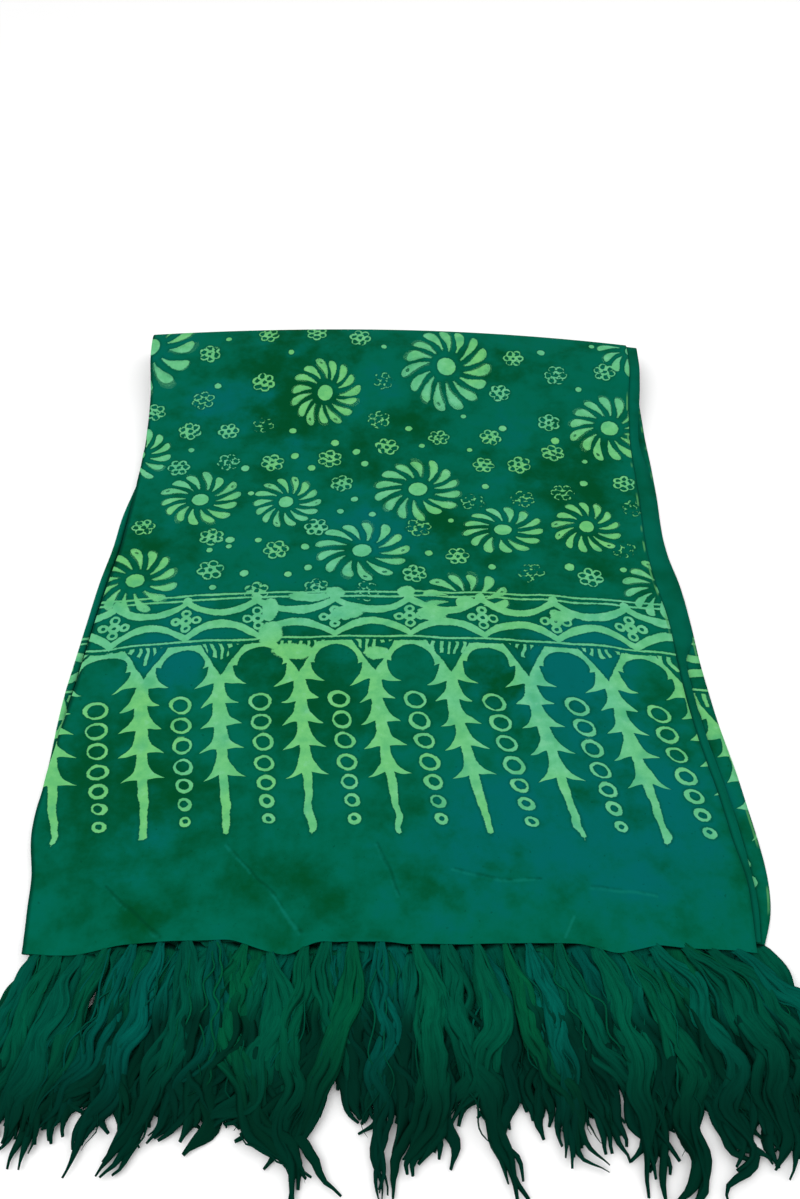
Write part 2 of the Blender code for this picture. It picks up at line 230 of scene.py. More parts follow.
# Deep patches in the dye: centre, size, and how green or blue it turned, in centimetres.
Patch = namedtuple("Patch", "across along size green blue")
PATCHES = [Patch(*row) for row in (
    (-14.0, 74.0, 7.0, 0.9, 0.0), (-12.0, 66.0, 5.0, 0.8, 0.0),
    (-22.0, 66.0, 6.0, 0.0, 0.5), (0.0, 62.0, 6.0, 0.6, 0.0),
    (18.0, 55.0, 7.0, 0.9, 0.0), (21.0, 44.0, 6.0, 0.5, 0.0),
    (-12.0, 60.0, 6.0, 0.5, 0.0), (-4.0, 47.0, 7.0, 0.0, 0.5),
    (-20.0, 35.0, 6.0, 0.0, 0.4), (8.0, 38.0, 6.0, 0.6, 0.0),
    (-26.0, 18.0, 7.0, 0.9, 0.0), (-9.0, 27.0, 5.0, 0.9, 0.0),
    (-4.0, 21.0, 6.0, 0.7, 0.0), (-22.0, 28.5, 4.0, 0.0, 0.9),
    (16.0, 30.0, 5.0, 0.0, 1.0), (14.0, 24.0, 5.0, 0.0, 0.7),
    (8.0, 26.0, 4.0, 0.9, 0.0), (22.0, 22.0, 6.0, 0.5, 0.0),
    (-14.0, 10.0, 8.0, 0.35, 0.0), (-24.0, 6.0, 6.0, 0.5, 0.0),
    (6.0, 10.0, 7.0, 0.0, 0.6), (20.0, 11.0, 10.0, 0.0, 0.8),
    (-20.0, 14.0, 5.0, 0.0, 0.4), (2.0, 3.5, 4.0, 0.3, 0.0),
    (-6.0, 5.0, 6.0, 0.2, 0.0), (-27.0, 44.0, 5.0, 0.8, 0.0),
    (4.0, 47.0, 4.0, 0.7, 0.0), (10.0, 74.0, 5.0, 0.5, 0.0),
)]

# The border's drawing, in millimetres along the cloth.
UPPER_LINES = (375.0, 369.0)
PETALS_REACH = 355.0
LOWER_LINE = 315.0
LINE_HALF = 1.15
FESTOON_HALF = 4.0
UPPER_FESTOON = (365.5, -15.0)
LOWER_FESTOON = (318.5, 17.0)
QUATREFOIL_ALONG = 341.5
ARCH_ALONG = 284.0
ARCH_RADIUS = 20.5
ARCH_TOP = 309.5
VEE_APEX = 271.0
VEE_SLOPE = 0.52
# A spear's outline: each pair of thorns grows from its stem to its tips.
Thorn = namedtuple("Thorn", "top tip stem swell reach")
THORNS = (
    Thorn(290, 266, 11.0, 1.6, 12.5),
    Thorn(266, 243, 4.9, 2.2, 11.0),
    Thorn(243, 217, 5.0, 2.4, 11.5),
    Thorn(217, 191, 4.7, 2.0, 13.5),
    Thorn(191, 161, 4.0, 1.6, 14.5),
)
THORN_CURVE = 5.2
THORN_DROOP = 0.36
THORN_UNLIKE = 0.09
TAIL_END = 99.0
TAIL_HALF = (4.2, 2.4)
SPEAR_SPAN = (90.0, 300.0)
WIDEST = 60.0
Ring = namedtuple("Ring", "along radius")
RINGS = (
    Ring(238, 10.2), Ring(214.5, 9.6), Ring(192, 9.1), Ring(169, 8.9), Ring(148.5, 7.7),
    Ring(130, 6.5), Ring(112.5, 5.4),
)
RING_LINE = 2.1
RING_GAP = 7.0
RING_ZERO = 20.0
RING_WIDEST = 20.0
RING_SPAN = (100.0, 255.0)


def edge(column, along):
    """How far across a layer's edge lies at these places along, on a smooth line through the plan."""
    places = np.array([station.along for station in PLAN])
    edges = np.array([getattr(station, column) for station in PLAN])
    last = len(places) - 1
    before = np.maximum(np.arange(last + 1) - 1, 0)
    after = np.minimum(np.arange(last + 1) + 1, last)
    slopes = (edges[after] - edges[before]) / (places[after] - places[before])
    place = np.clip(along, places[0], places[-1])
    upper = np.clip(np.searchsorted(places, place), 1, last)
    lower = upper - 1
    span = places[upper] - places[lower]
    t = (place - places[lower]) / span
    return (
        edges[lower] * (1 + 2 * t) * (1 - t) ** 2
        + span * slopes[lower] * t * (1 - t) ** 2
        + edges[upper] * t * t * (3 - 2 * t)
        - span * slopes[upper] * t * t * (1 - t)
    )


def eased(share):
    """From 0 to 1, slowly at both ends."""
    share = np.clip(share, 0, 1)
    return share * share * (3 - 2 * share)


def within(value, start, rise, end, fall):
    """1 between two places and 0 outside them, over a rise at the first and a fall at the last."""
    return eased((value - start) / rise) * eased((end - value) / fall)


def turn(across):
    """Where the loop at the far end begins to turn down. It is drawn in towards both corners."""
    drawn_in = np.where(across < TURN_CENTRE, TURN_DRAWN_IN_LEFT, TURN_DRAWN_IN_RIGHT)
    return TURN_ALONG - drawn_in * (across - TURN_CENTRE) ** 2


def loop_height(across):
    """The loop is a little lower on the right."""
    share = (across + HALF_WIDTH) / (2 * HALF_WIDTH)
    return LOOP_HEIGHT * (1 - LOOP_LOWER_ON_RIGHT * share * share)


def stack_height(across, along):
    """The plain height of the stack, without creases: level, then rising to the loop."""
    rise_end = turn(across) - RISE_END_FROM_TURN
    t = np.clip((along - RISE_START) / (rise_end - RISE_START), 0, 1)
    rise = loop_height(across) - STACK_HEIGHT
    return STACK_HEIGHT + rise * t * t * (RISE_EASE - (RISE_EASE - 1) * t)


def creased(across, along):
    """How far the soft creases lift the cloth."""
    lift = np.zeros_like(across)
    for crease in SOFT_CREASES:
        run_across = crease.to_across - crease.from_across
        run_along = crease.to_along - crease.from_along
        t = (across - crease.from_across) * run_across + (along - crease.from_along) * run_along
        t = np.clip(t / (run_across**2 + run_along**2), 0, 1)
        off_across = across - crease.from_across - run_across * t
        off_along = along - crease.from_along - run_along * t
        apart = np.hypot(off_across, off_along) / crease.half_width
        lift += crease.height * np.exp(-apart * apart)
    return lift


def rippled(across, along):
    """Small uneven waves, as cloth has where it was folded and opened again."""
    drawn = np.random.default_rng(RIPPLE_SEED)
    lift = np.zeros_like(across)
    for _ in range(RIPPLES):
        wave = drawn.uniform(RIPPLE_SHORTEST, RIPPLE_LONGEST)
        heading = drawn.uniform(0, math.pi)
        phase = drawn.uniform(0, math.tau)
        way = across * math.cos(heading) + along * math.sin(heading)
        beside = along * math.cos(heading) - across * math.sin(heading)
        bend = RIPPLE_BEND * np.sin(math.tau * beside / RIPPLE_BEND_LENGTH + phase)
        lift += RIPPLE_HEIGHT * (wave / RIPPLE_LONGEST) * np.sin(math.tau * way / wave + phase + bend)
    return lift


def relief(across, along):
    """How far creases, broad swells and small waves lift the top layer."""
    swell = np.sin(math.tau * across / SWELL_ACROSS) * np.sin(math.tau * along / SWELL_ALONG)
    lift = SWELL_HEIGHT * 0.5 * (1 + swell)
    lift += creased(across, along) + HEM_ROLL * np.exp(-((along / HEM_ROLL_WIDTH) ** 2))
    return lift + rippled(across, along)


def outer_face(across, share, turned, depth, uneven=1.0):
    """Points (along, up) of the top layer's outer face, or of a face that lies this deep under it."""
    level = share * turn(across)
    height = stack_height(across, level)
    slope = stack_height(across, level + SLOPE_STEP) - stack_height(across, level - SLOPE_STEP)
    slope = slope / (2 * SLOPE_STEP)
    length = np.sqrt(1 + slope**2)
    fade = np.clip((turn(across) - level) / RISE_END_FROM_TURN, 0, 1)
    height = height + relief(across, level) * fade * uneven
    half = loop_height(across) / 2
    round_along = turn(across) + LOOP_DEPTH * np.sin(turned)
    round_up = half * (1 + np.cos(turned))
    facing_along = np.sin(turned) / LOOP_DEPTH
    facing_up = np.cos(turned) / half
    size = np.hypot(facing_along, facing_up)
    on_loop = turned > 0
    along = np.where(on_loop, round_along - depth * facing_along / size, level + depth * slope / length)
    up = np.where(on_loop, round_up - depth * facing_up / size, height - depth / length)
    return along, up


def in_place(across, along, up):
    """Points in the frame, from places in the stack."""
    return np.stack([across - MIDDLE_ACROSS, along - MIDDLE_ALONG, up], axis=-1)


def stations_along():
    """Shares of the way from the hem to the far turn, closer together in the plain creased end."""
    near = np.linspace(0, 1, NEAR_STEPS + 1) ** 1.5 * NEAR_LENGTH / TURN_ALONG
    return np.concatenate([near, np.linspace(near[-1], 1, FAR_STEPS + 1)[1:]])


def hem_shift(across, along):
    """How far the hem's scallops move the cloth near it."""
    places, shifts = zip(*HEM)
    smooth = np.interp(across, places, shifts)
    for step in (-HEM_SMOOTHED, HEM_SMOOTHED):
        smooth = smooth + np.interp(across + step, places, shifts)
    return smooth / 3 * np.clip(1 - along / HEM_REACH, 0, 1) ** 2


# The print's own coordinates


def half_steps(values, on_cusps):
    """Places of every half period, from places of the whole ones or of the halves between them."""
    if not on_cusps:
        step = (values[-1] - values[0]) / (len(values) - 1)
        values = (values[0] - step, *values, values[-1] + step)
    halves = np.interp(np.arange(2 * len(values) - 1) / 2, np.arange(len(values)), values)
    return halves if on_cusps else halves[1:-1]


def border_place(across, along):
    """The border's phase in periods, and its own distance from the hem, at places on the cloth."""
    whole = [half_steps(places, True) for places in (CUSPS_NEAR, CUSPS_FAR)]
    rows = np.array([half_steps(TAILS, False), half_steps(STEMS, False), *whole])
    count = rows.shape[1]
    columns = np.stack([np.interp(along, ROWS_ALONG, rows[:, k]) for k in range(count)], axis=-1)
    right = np.clip((columns < across[..., None]).sum(axis=-1), 1, count - 1)
    high = np.take_along_axis(columns, right[..., None], -1)[..., 0]
    low = np.take_along_axis(columns, right[..., None] - 1, -1)[..., 0]
    phase = (right - 1 + (across - low) / (high - low)) / 2
    bow = np.interp(along, BOW_ALONG, BOW) * ((across - BOW_CENTRE) / BOW_WIDTH) ** 2
    return phase, along + bow


def nearest(places, sizes, centres):
    """For each face centre, which motif is nearest by its own size, and how near."""
    far = np.full(len(centres), 1e9)
    which = np.zeros(len(centres), int)
    for index, (place, size) in enumerate(zip(places, sizes)):
        distance = np.hypot(*((centres - place) / size).T)
        closer = distance < far
        far[closer] = distance[closer]
        which[closer] = index
    return which, far


def motif_values(cloth, faces, motifs, reach):
    """Corner values: the place within the nearest motif, turned and scaled to it, and its code."""
    places, sizes, codes, turns = (np.array(column) for column in zip(*motifs))
    places, sizes = places / 100, sizes / 100
    corners = cloth[faces]
    which, far = nearest(places, sizes, corners.mean(axis=1))
    local = (corners - places[which][:, None]) / sizes[which][:, None]
    cos, sin = np.cos(turns[which])[:, None], np.sin(turns[which])[:, None]
    values = np.empty((len(faces), 4, 3))
    values[..., 0] = local[..., 0] * cos - local[..., 1] * sin
    values[..., 1] = local[..., 0] * sin + local[..., 1] * cos
    values[..., 2] = codes[which][:, None]
    values[far > reach] = (NO_MOTIF, NO_MOTIF, 0)
    return values


def flower_motifs():
    """Each flower's place, size, code and turn. The code is its count of petals and a share."""
    drawn = np.random.default_rng(FLOWER_SEED)
    return [
        ((f.across, f.along), (f.wide, f.long), f.petals + drawn.uniform(0.05, 0.95), f.turned)
        for f in FLOWERS
    ]


def small_motifs():
    """Stars, dots and blots, each with a code: 1 and a share for a star, 2 for a dot, 3 for a blot."""
    drawn = np.random.default_rng(SMALL_SEED)
    kinds = (
        (STARS, STAR_SIZE, (0.92, 1.06), 70, 1, (0.02, 0.98), (0, math.tau)),
        (DOTS, DOT_SIZE, (0.7, 1.15), 90, 2, (0.1, 0.9), (-0.3, 0.3)),
    )
    made = []
    for places, size, sizes, lengthens, code, shares, turns in kinds:
        for place in places:
            wide = size * drawn.uniform(*sizes)
            long = wide * (1 + max(place[1] - LONGER_FROM, 0) / lengthens)
            made.append((place, (wide, long), code + drawn.uniform(*shares), drawn.uniform(*turns)))
    for across, along, wide, long in BLOTS:
        made.append(((across, along), (wide, long), 3.5, drawn.uniform(-0.2, 0.2)))
    return made


def dye_patches(cloth, beside):
    """How green and how blue the dye is at each point, and how far it lies from an edge above it, which
    places a painted shadow.
    """
    green, blue = np.zeros(len(cloth)), np.zeros(len(cloth))
    for patch in PATCHES:
        apart = np.hypot(cloth[:, 0] * 100 - patch.across, cloth[:, 1] * 100 - patch.along)
        fall = np.exp(-((apart / patch.size) ** 2))
        green += patch.green * fall
        blue += patch.blue * fall
    return np.stack([green, blue, np.tile(beside.ravel(), 2)], axis=-1)


def give(mesh, name, values, domain="POINT"):
    """Stores three numbers at each point or corner, for the materials to read."""
    attribute = mesh.attributes.new(name, "FLOAT_VECTOR", domain)
    attribute.data.foreach_set("vector", np.ascontiguousarray(values, np.float32).ravel())


def add_dye(mesh, cloth, beside):
    """Stores where each point was cut from the cloth, how its dye turned, and how far it lies from the
    edge whose painted shadow falls on it.
    """
    give(mesh, "cloth", np.column_stack([cloth, np.zeros(len(cloth))]))
    give(mesh, "dye", dye_patches(cloth, beside))


def add_print(mesh, cloth, from_edge, beside, border_shift=0.0, across_shift=0.0, field=True):
    """Stores where each point lies in the print: in the border, a large flower and a small motif."""
    faces = np.empty(len(mesh.polygons) * 4, np.int32)
    mesh.loops.foreach_get("vertex_index", faces)
    faces = faces.reshape(-1, 4)
    phase, along = border_place(cloth[:, 0] + across_shift, cloth[:, 1] + border_shift)
    moved = cloth + (across_shift, border_shift)
    add_dye(mesh, cloth, beside)
    give(mesh, "border", np.column_stack([phase, along, np.tile(from_edge.ravel(), 2)]))
    shown = None if field else 1
    for name, motifs, reach in (("bloom", flower_motifs(), 1.2), ("spray", small_motifs(), 1.6)):
        give(mesh, name, motif_values(moved, faces, motifs[:shown], reach), "CORNER")


# Shader maths

# How far a noise is moved where it is read a second time, and how fine the threads are.
ELSEWHERE = (3.1, 7.7, 0.0)
THREADS = (1500.0, 190.0)
BUMP_STRENGTH = 0.35
# A large flower, in shares of its size, and that size in millimetres.
FLOWER_SWIRL = 0.42
FLOWER_DISC = 0.20
FLOWER_MM = 45.0
PETAL_START = 0.35
PETAL_HALF = 0.140
PETAL_HOLE_FROM_TIP = 0.14
PETAL_HOLE = 0.040
# A small flower: its petals and its middle are rings.
STAR_MM = 13.0
STAR_PETALS = 6.0
STAR_PETALS_OUT = 0.64
STAR_PETAL, STAR_PETAL_HOLE = 0.36, 0.23
STAR_MIDDLE, STAR_MIDDLE_HOLE = 0.38, 0.19
DOT_MM = 4.2
# The band's quatrefoils and knots, and the drips below it, in millimetres.
QUATREFOIL_OUT = (10.4, 9.6)
QUATREFOIL_PETAL, QUATREFOIL_PETAL_HOLE = 5.2, 2.3
QUATREFOIL_MIDDLE, QUATREFOIL_MIDDLE_HOLE = 6.2, 1.9
KNOT_ALONG, KNOT_RADIUS = 368.0, 5.0
DRIPS_APART, DRIP_HALF, DRIP_LENGTH = 7.6, 1.5, 16.0

# Colours of dye, wax and yarn, and of painted shade, shadow and highlight, as linear shares of red,
# green and blue.
TEAL = (0.0004, 0.112, 0.066)
DEEP_GREEN = (0.0002, 0.062, 0.018)
BLUE_TEAL = (0.0006, 0.113, 0.111)
DARK_SPECK = (0.0001, 0.040, 0.014)
BESIDE_WAX = (0.0001, 0.056, 0.026)
# Painted shade along the pressed lines, and the painted highlight on their lit side.
CREASE_PAINTED_SHADE = (0.0001, 0.038, 0.014)
PRESSED_LIT = (0.004, 0.165, 0.120)
# Painted shadow beside the edge of the layer above, and painted shade along a fold.
EDGE_PAINTED_SHADE = (0.0001, 0.022, 0.012)
WAX_COOL = (0.118, 0.470, 0.255)
WAX_WARM = (0.150, 0.500, 0.160)
WAX_MOTTLED = (0.070, 0.370, 0.150)
WAX_FAINT = (0.030, 0.300, 0.170)
WAX_DARKER = (0.050, 0.330, 0.120)
WAX_PALER = (0.210, 0.560, 0.330)
PINHOLE = (0.010, 0.16, 0.06)
WORN_EDGE = (0.080, 0.330, 0.110)
PLAIN_TEAL = (0.0004, 0.106, 0.066)
PLAIN_DEEP = (0.0002, 0.070, 0.030)
YARN_BLUE = (0.0006, 0.110, 0.086)
YARN_GREEN = (0.0008, 0.104, 0.038)
YARN_DEEP = (0.0002, 0.040, 0.028)
YARN_TIP = (0.0006, 0.017, 0.010)
# Painted shade under the hem, at the roots of the covered rows.
YARN_ROOT_SHADE = (0.0002, 0.006, 0.004)
YARN_MUTED = (0.0003, 0.040, 0.026)
# Fibre streaks where the fine bump lies low: partly the yarn's grain, partly painted shade.
YARN_FIBRE_GRAIN_AND_SHADE = (0.0002, 0.020, 0.013)
# Painted shade in the low grooves of the bump.
YARN_GROOVE_SHADE = (0.0002, 0.018, 0.011)
# Painted shade on the underside of each ribbon.
YARN_UNDERSIDE_SHADE = (0.0002, 0.010, 0.006)


class Value:
    """One value in a material. Python's operators on it add Math nodes."""

    def __init__(self, nodes, socket):
        self.nodes, self.socket = nodes, socket

    def math(self, operation, *others):
        return self.nodes.add("ShaderNodeMath", {"operation": operation}, self, *others)

    def within_one(self):
        return self.math("MAXIMUM", 0.0).math("MINIMUM", 1.0)

    def __add__(self, other):
        return self.math("ADD", other)

    def __sub__(self, other):
        return self.math("SUBTRACT", other)

    def __rsub__(self, other):
        return self.nodes.add("ShaderNodeMath", {"operation": "SUBTRACT"}, other, self)

    def __mul__(self, other):
        return self.math("MULTIPLY", other)

    def __truediv__(self, other):
        return self.math("DIVIDE", other)

    def __pow__(self, other):
        return self.math("POWER", other)

    def __neg__(self):
        return self * -1

    def __abs__(self):
        return self.math("ABSOLUTE")

    def __floor__(self):
        return self.math("FLOOR")

    __radd__, __rmul__ = __add__, __mul__


class Nodes:
    """The nodes of one material, and the few ways in which they are joined."""

    def __init__(self, name):
        self.material = bpy.data.materials.new(name)
        self.material.use_nodes = True
        self.tree = self.material.node_tree
        self.shader = self.tree.nodes["Principled BSDF"]

    def add(self, kind, settings, *values, output=0, **named):
        """A node of this type, with its settings, and its sockets' values or links."""
        node = self.tree.nodes.new(kind)
        for key, value in settings.items():
            if key == "points":
                self.set_points(node.mapping, value)
            else:
                setattr(node, key, value)
        for key, value in [*enumerate(values), *named.items()]:
            socket = node.inputs[key if isinstance(key, int) else key.replace("_", " ")]
            if isinstance(value, Value):
                self.tree.links.new(value.socket, socket)
            else:
                socket.default_value = value
        return Value(self, node.outputs[output])

    @staticmethod
    def set_points(mapping, points):
        """Straight lines between these points, on a curve node."""
        curve = mapping.curves[0]
        while len(curve.points) < len(points):
            curve.points.new(0.5, 0.5)
        for point, place in zip(curve.points, points):
            point.location = place
            point.handle_type = "VECTOR"
        mapping.update()

    def attribute(self, name):
        return self.add("ShaderNodeAttribute", {"attribute_name": name}, output="Vector")

    def parts(self, vector):
        return [self.add("ShaderNodeSeparateXYZ", {}, vector, output=axis) for axis in range(3)]

    def joined(self, x, y, z):
        return self.add("ShaderNodeCombineXYZ", {}, x, y, z)

    def scaled(self, vector, *factors):
        return self.add("ShaderNodeVectorMath", {"operation": "MULTIPLY"}, vector, factors)

    def moved(self, vector, by):
        return self.add("ShaderNodeVectorMath", {"operation": "ADD"}, vector, by)

    def noise(self, place, scale, detail, roughness=0.5):
        sockets = {"Vector": place, "Scale": scale, "Detail": detail, "Roughness": roughness}
        return self.add("ShaderNodeTexNoise", {"noise_dimensions": "3D"}, **sockets)

    def random(self, value):
        return self.add("ShaderNodeTexWhiteNoise", {"noise_dimensions": "1D"}, W=value)

    def curve(self, value, span, points, widest):
        """The value of a line through these points, which are given in its own units."""
        low, high = span
        stops = sorted(((x - low) / (high - low), y / widest) for x, y in points)
        share = (value - low) / (high - low)
        return self.add("ShaderNodeFloatCurve", {"points": stops}, Value=share) * widest

    def largest(self, first, *others):
        for other in others:
            first = first.math("MAXIMUM", other)
        return first

    def smallest(self, first, *others):
        for other in others:
            first = first.math("MINIMUM", other)
        return first

    def size_of(self, across, along):
        return (across * across + along * along).math("SQRT")

    def step(self, value, low, high):
        """From 0 at low to 1 at high, smoothly."""
        settings = {"interpolation_type": "SMOOTHSTEP"}
        return self.add("ShaderNodeMapRange", settings, value, low, high, 0.0, 1.0)

    def mix(self, factor, first, second):
        """Between two colours, each an (r, g, b) or a link."""
        node = self.tree.nodes.new("ShaderNodeMix")
        node.data_type = "RGBA"
        for index, value in ((0, factor), (6, first), (7, second)):
            if isinstance(value, Value):
                self.tree.links.new(value.socket, node.inputs[index])
            else:
                node.inputs[index].default_value = (*value, 1.0)
        return Value(self, node.outputs[2])

    def coats(self, colour, *coats):
        """A colour with others laid over it, each given as (how much, colour)."""
        for share, coat in coats:
            colour = self.mix(share, colour, coat)
        return colour

    def surface(self, constants, **linked):
        """Sets and joins the sockets of the shader, and gives the material."""
        for name, value in constants.items():
            self.shader.inputs[name].default_value = value
        for name, value in linked.items():
            self.tree.links.new(value.socket, self.shader.inputs[name.replace("_", " ")])
        return self.material

    def cloth_surface(self, colour, roughness, height, distance):
        """A dull cloth or yarn, whose threads show in its roughness and its bump."""
        sockets = {"Strength": BUMP_STRENGTH, "Distance": distance, "Height": height}
        normal = self.add("ShaderNodeBump", {}, **sockets)
        dull = {"Specular IOR Level": 0.005, "Sheen Weight": 0.0}
        return self.surface(dull, Base_Color=colour, Roughness=roughness, Normal=normal)


def from_nearest(value):
    """How far a value lies from the nearest whole number."""
    return value - math.floor(value + 0.5)


def from_half(value):
    """How far a value lies from the middle between two whole numbers."""
    return value - math.floor(value) - 0.5


def thorn_points():
    """A spear's half width along it, in millimetres: (along, half width)."""
    points = [(SPEAR_SPAN[0], 0), (TAIL_END - 0.5, 0), (TAIL_END + 1.5, TAIL_HALF[1])]
    points += [(THORNS[-1].tip - 1, TAIL_HALF[0])]
    for thorn in THORNS:
        for share in (1.0, 0.97, 0.93, 0.87, 0.8, 0.7, 0.55, 0.35, 0.1):
            along = thorn.top + (thorn.tip - thorn.top) * share
            points.append((along, thorn.stem + thorn.swell * share + thorn.reach * share**THORN_CURVE))
    points += [(THORNS[0].top + 1, WIDEST), (SPEAR_SPAN[1], WIDEST)]
    return points


def ring_points(which):
    """Along a ring column: the distance from the nearest ring's middle, or that ring's radius."""
    points = []
    for index, ring in enumerate(RINGS):
        upper = RING_SPAN[1] if index == 0 else (ring.along + RINGS[index - 1].along) / 2
        lower = RING_SPAN[0] if index == len(RINGS) - 1 else (ring.along + RINGS[index + 1].along) / 2
        for place in (lower + 0.9, upper - 0.9):
            offset = place - ring.along + RING_ZERO
            points.append((place, offset if which == "offset" else ring.radius + RING_GAP))
        if which == "radius":
            points += [(lower, 0), (upper - 0.1, 0)]
    return points


# The inks below give how far a place lies inside the wax, in millimetres, or outside it below 0.


def flower_ink(n, local):
    """Large flowers: comma petals that swirl round a disc."""
    x, y, code = n.parts(local)
    petals = math.floor(code)
    seed = code - petals
    r = n.size_of(x, y)
    swirled = y.math("ARCTAN2", x) - FLOWER_SWIRL * (r - 0.7)
    sector = swirled * petals / math.tau
    index = math.floor(sector + 0.5)
    angle = (sector - index) * math.tau / petals
    own = n.random(index.math("FLOORED_MODULO", petals) * 7.13 + seed * 91.0)
    other = n.random(index.math("FLOORED_MODULO", petals) * 3.71 + seed * 47.0 + 11.0)
    tip = 1.0 - 0.13 * own
    base = PETAL_START + 0.07 * other
    t = ((r - base) / (tip - base)).within_one()
    aside = r * angle - (own - 0.5) * 0.05 - 0.06 * t * t
    body = t**1.30 * (1.0 - t**4.5).math("SQRT")
    width = body * (PETAL_HALF + 0.05 * other) + 0.012
    has_hole = n.step(own, 0.16, 0.14)
    hole = n.size_of(r - tip + PETAL_HOLE_FROM_TIP, aside) - PETAL_HOLE + (1.0 - has_hole)
    petal = n.smallest(width - abs(aside), tip - r, r - base, hole)
    return n.largest(petal, FLOWER_DISC - r) * FLOWER_MM


def small_ink(n, local, patchy):
    """Small flowers of ring petals, dots and blots."""
    x, y, code = n.parts(local)
    r = n.size_of(x, y)
    sector = y.math("ARCTAN2", x) * STAR_PETALS / math.tau
    angle = from_nearest(sector) * math.tau / STAR_PETALS
    around = n.size_of(r * angle.math("COSINE") - STAR_PETALS_OUT, r * angle.math("SINE"))
    lobes = n.largest(STAR_PETAL - around, STAR_MIDDLE - r)
    holes = n.largest(STAR_PETAL_HOLE - around, STAR_MIDDLE_HOLE - r) + (patchy - 0.5) * 0.55
    star = n.smallest(lobes, -holes) * STAR_MM
    worn = (patchy - 0.30 - 0.22 * n.step(code, 1.6, 1.9)) * 30.0
    star = n.smallest(star, worn)
    is_star = n.step(code, 1.995, 2.0)
    dot = (1.0 - r) * DOT_MM
    return star * (1.0 - is_star) + dot * is_star


def band_ink(n, phase, along, uneven):
    """The band between its lines: hanging and standing festoons, with a quatrefoil at each cusp."""
    arc = 1.0 - (from_half(phase) * 2.0) ** 2.0
    lines = [LINE_HALF - abs(along - line) for line in (*UPPER_LINES, LOWER_LINE)]
    half = FESTOON_HALF + (uneven - 0.5) * 4.0
    festoons = [
        half - abs(along - start - rise * arc) * 0.9 for start, rise in (UPPER_FESTOON, LOWER_FESTOON)
    ]
    x, y = abs(from_nearest(phase) * PERIOD), abs(along - QUATREFOIL_ALONG)
    petal = n.smallest(n.size_of(x - QUATREFOIL_OUT[0], y), n.size_of(x, y - QUATREFOIL_OUT[1]))
    middle = n.size_of(x, y)
    lobes = n.largest(QUATREFOIL_PETAL - petal, QUATREFOIL_MIDDLE - middle)
    holes = n.largest(QUATREFOIL_PETAL_HOLE - petal, QUATREFOIL_MIDDLE_HOLE - middle)
    holes = holes + (uneven - 0.5) * 3.5
    knots = KNOT_RADIUS - n.size_of(x, (along - KNOT_ALONG) * 0.9)
    return n.largest(*lines, *festoons, n.smallest(lobes, -holes), knots)


def spear_ink(n, phase, along, uneven, fine):
    """Arches that close into thorned spears, with drips in the vees between them."""
    from_stem = from_half(phase) * PERIOD + (uneven - 0.5) * 4.0
    from_stem = from_stem + (fine - 0.5) * n.step(along, 165.0, 105.0) * 11.0
    aside = abs(from_stem)
    arch = n.size_of(aside - PERIOD / 2, along - ARCH_ALONG) - ARCH_RADIUS + (uneven - 0.5) * 4.0
    drooped = along + THORN_DROOP * aside - THORN_UNLIKE * from_stem + (fine - 0.5) * 11.0
    outline = n.curve(drooped, SPEAR_SPAN, thorn_points(), WIDEST)
    vee = (aside - VEE_SLOPE * (along - VEE_APEX)) * 0.88
    spear = n.smallest(outline - aside, arch, vee, ARCH_TOP - along, along - TAIL_END + 1.5)
    column = from_stem + (fine - 0.5) * 14.0 + 3.4
    finger = DRIP_HALF - abs(from_half(column / DRIPS_APART)) * DRIPS_APART
    length = DRIP_LENGTH - aside * 0.7 + (uneven - 0.5) * 46.0
    drips = n.smallest(finger, along - ARCH_TOP + length, ARCH_TOP + 1.0 - along, along - VEE_APEX - 4.0)
    return n.largest(spear, drips)


def ring_ink(n, phase, along, uneven, other):
    """Columns of rings between the spears."""
    x = from_nearest(phase) * PERIOD
    y = n.curve(along, RING_SPAN, ring_points("offset"), 2 * RING_ZERO) - RING_ZERO
    radius = n.curve(along, RING_SPAN, ring_points("radius"), RING_WIDEST) - RING_GAP
    lean, drop = (uneven - 0.5) * 5.0, (other - 0.5) * 5.0
    outer = radius - n.size_of(x + lean, y + drop)
    line = RING_LINE + uneven * 1.6
    hole = radius - line - n.size_of(x + drop * 0.6, y - lean * 0.5)
    inside = n.smallest(along - RING_SPAN[0] - 1.0, RING_SPAN[1] - 1.0 - along)
    return n.smallest(outer, -hole, inside)


def pressed_lines(n, cloth, uneven, other, aside):
    """How near a place is to one of the thin lines that folding pressed into the plain end."""
    x, y, _ = n.parts(cloth)
    x, y = x * 100.0 + (uneven - 0.5) * 0.6 + aside, y * 100.0 + (other - 0.5) * 0.6 + aside
    distances = []
    for line in PRESSED_LINES:
        for (x0, y0), (x1, y1) in zip(line, line[1:]):
            run, rise = x1 - x0, y1 - y0
            share = ((x - x0) * run + (y - y0) * rise) / (run * run + rise * rise)
            share = share.within_one()
            distances.append(n.size_of(x - x0 - share * run, y - y0 - share * rise))
    return n.step(n.smallest(*distances), PRESSED_HALF, 0.0)


def weave_of(n, cloth):
    """Crossing threads, less than a millimetre apart."""
    fine, coarse = THREADS
    ways = (fine, coarse, 1.0), (coarse, fine, 1.0)
    threads, crossing = (n.noise(n.scaled(cloth, *way), 1.0, 1.0) for way in ways)
    return threads + crossing


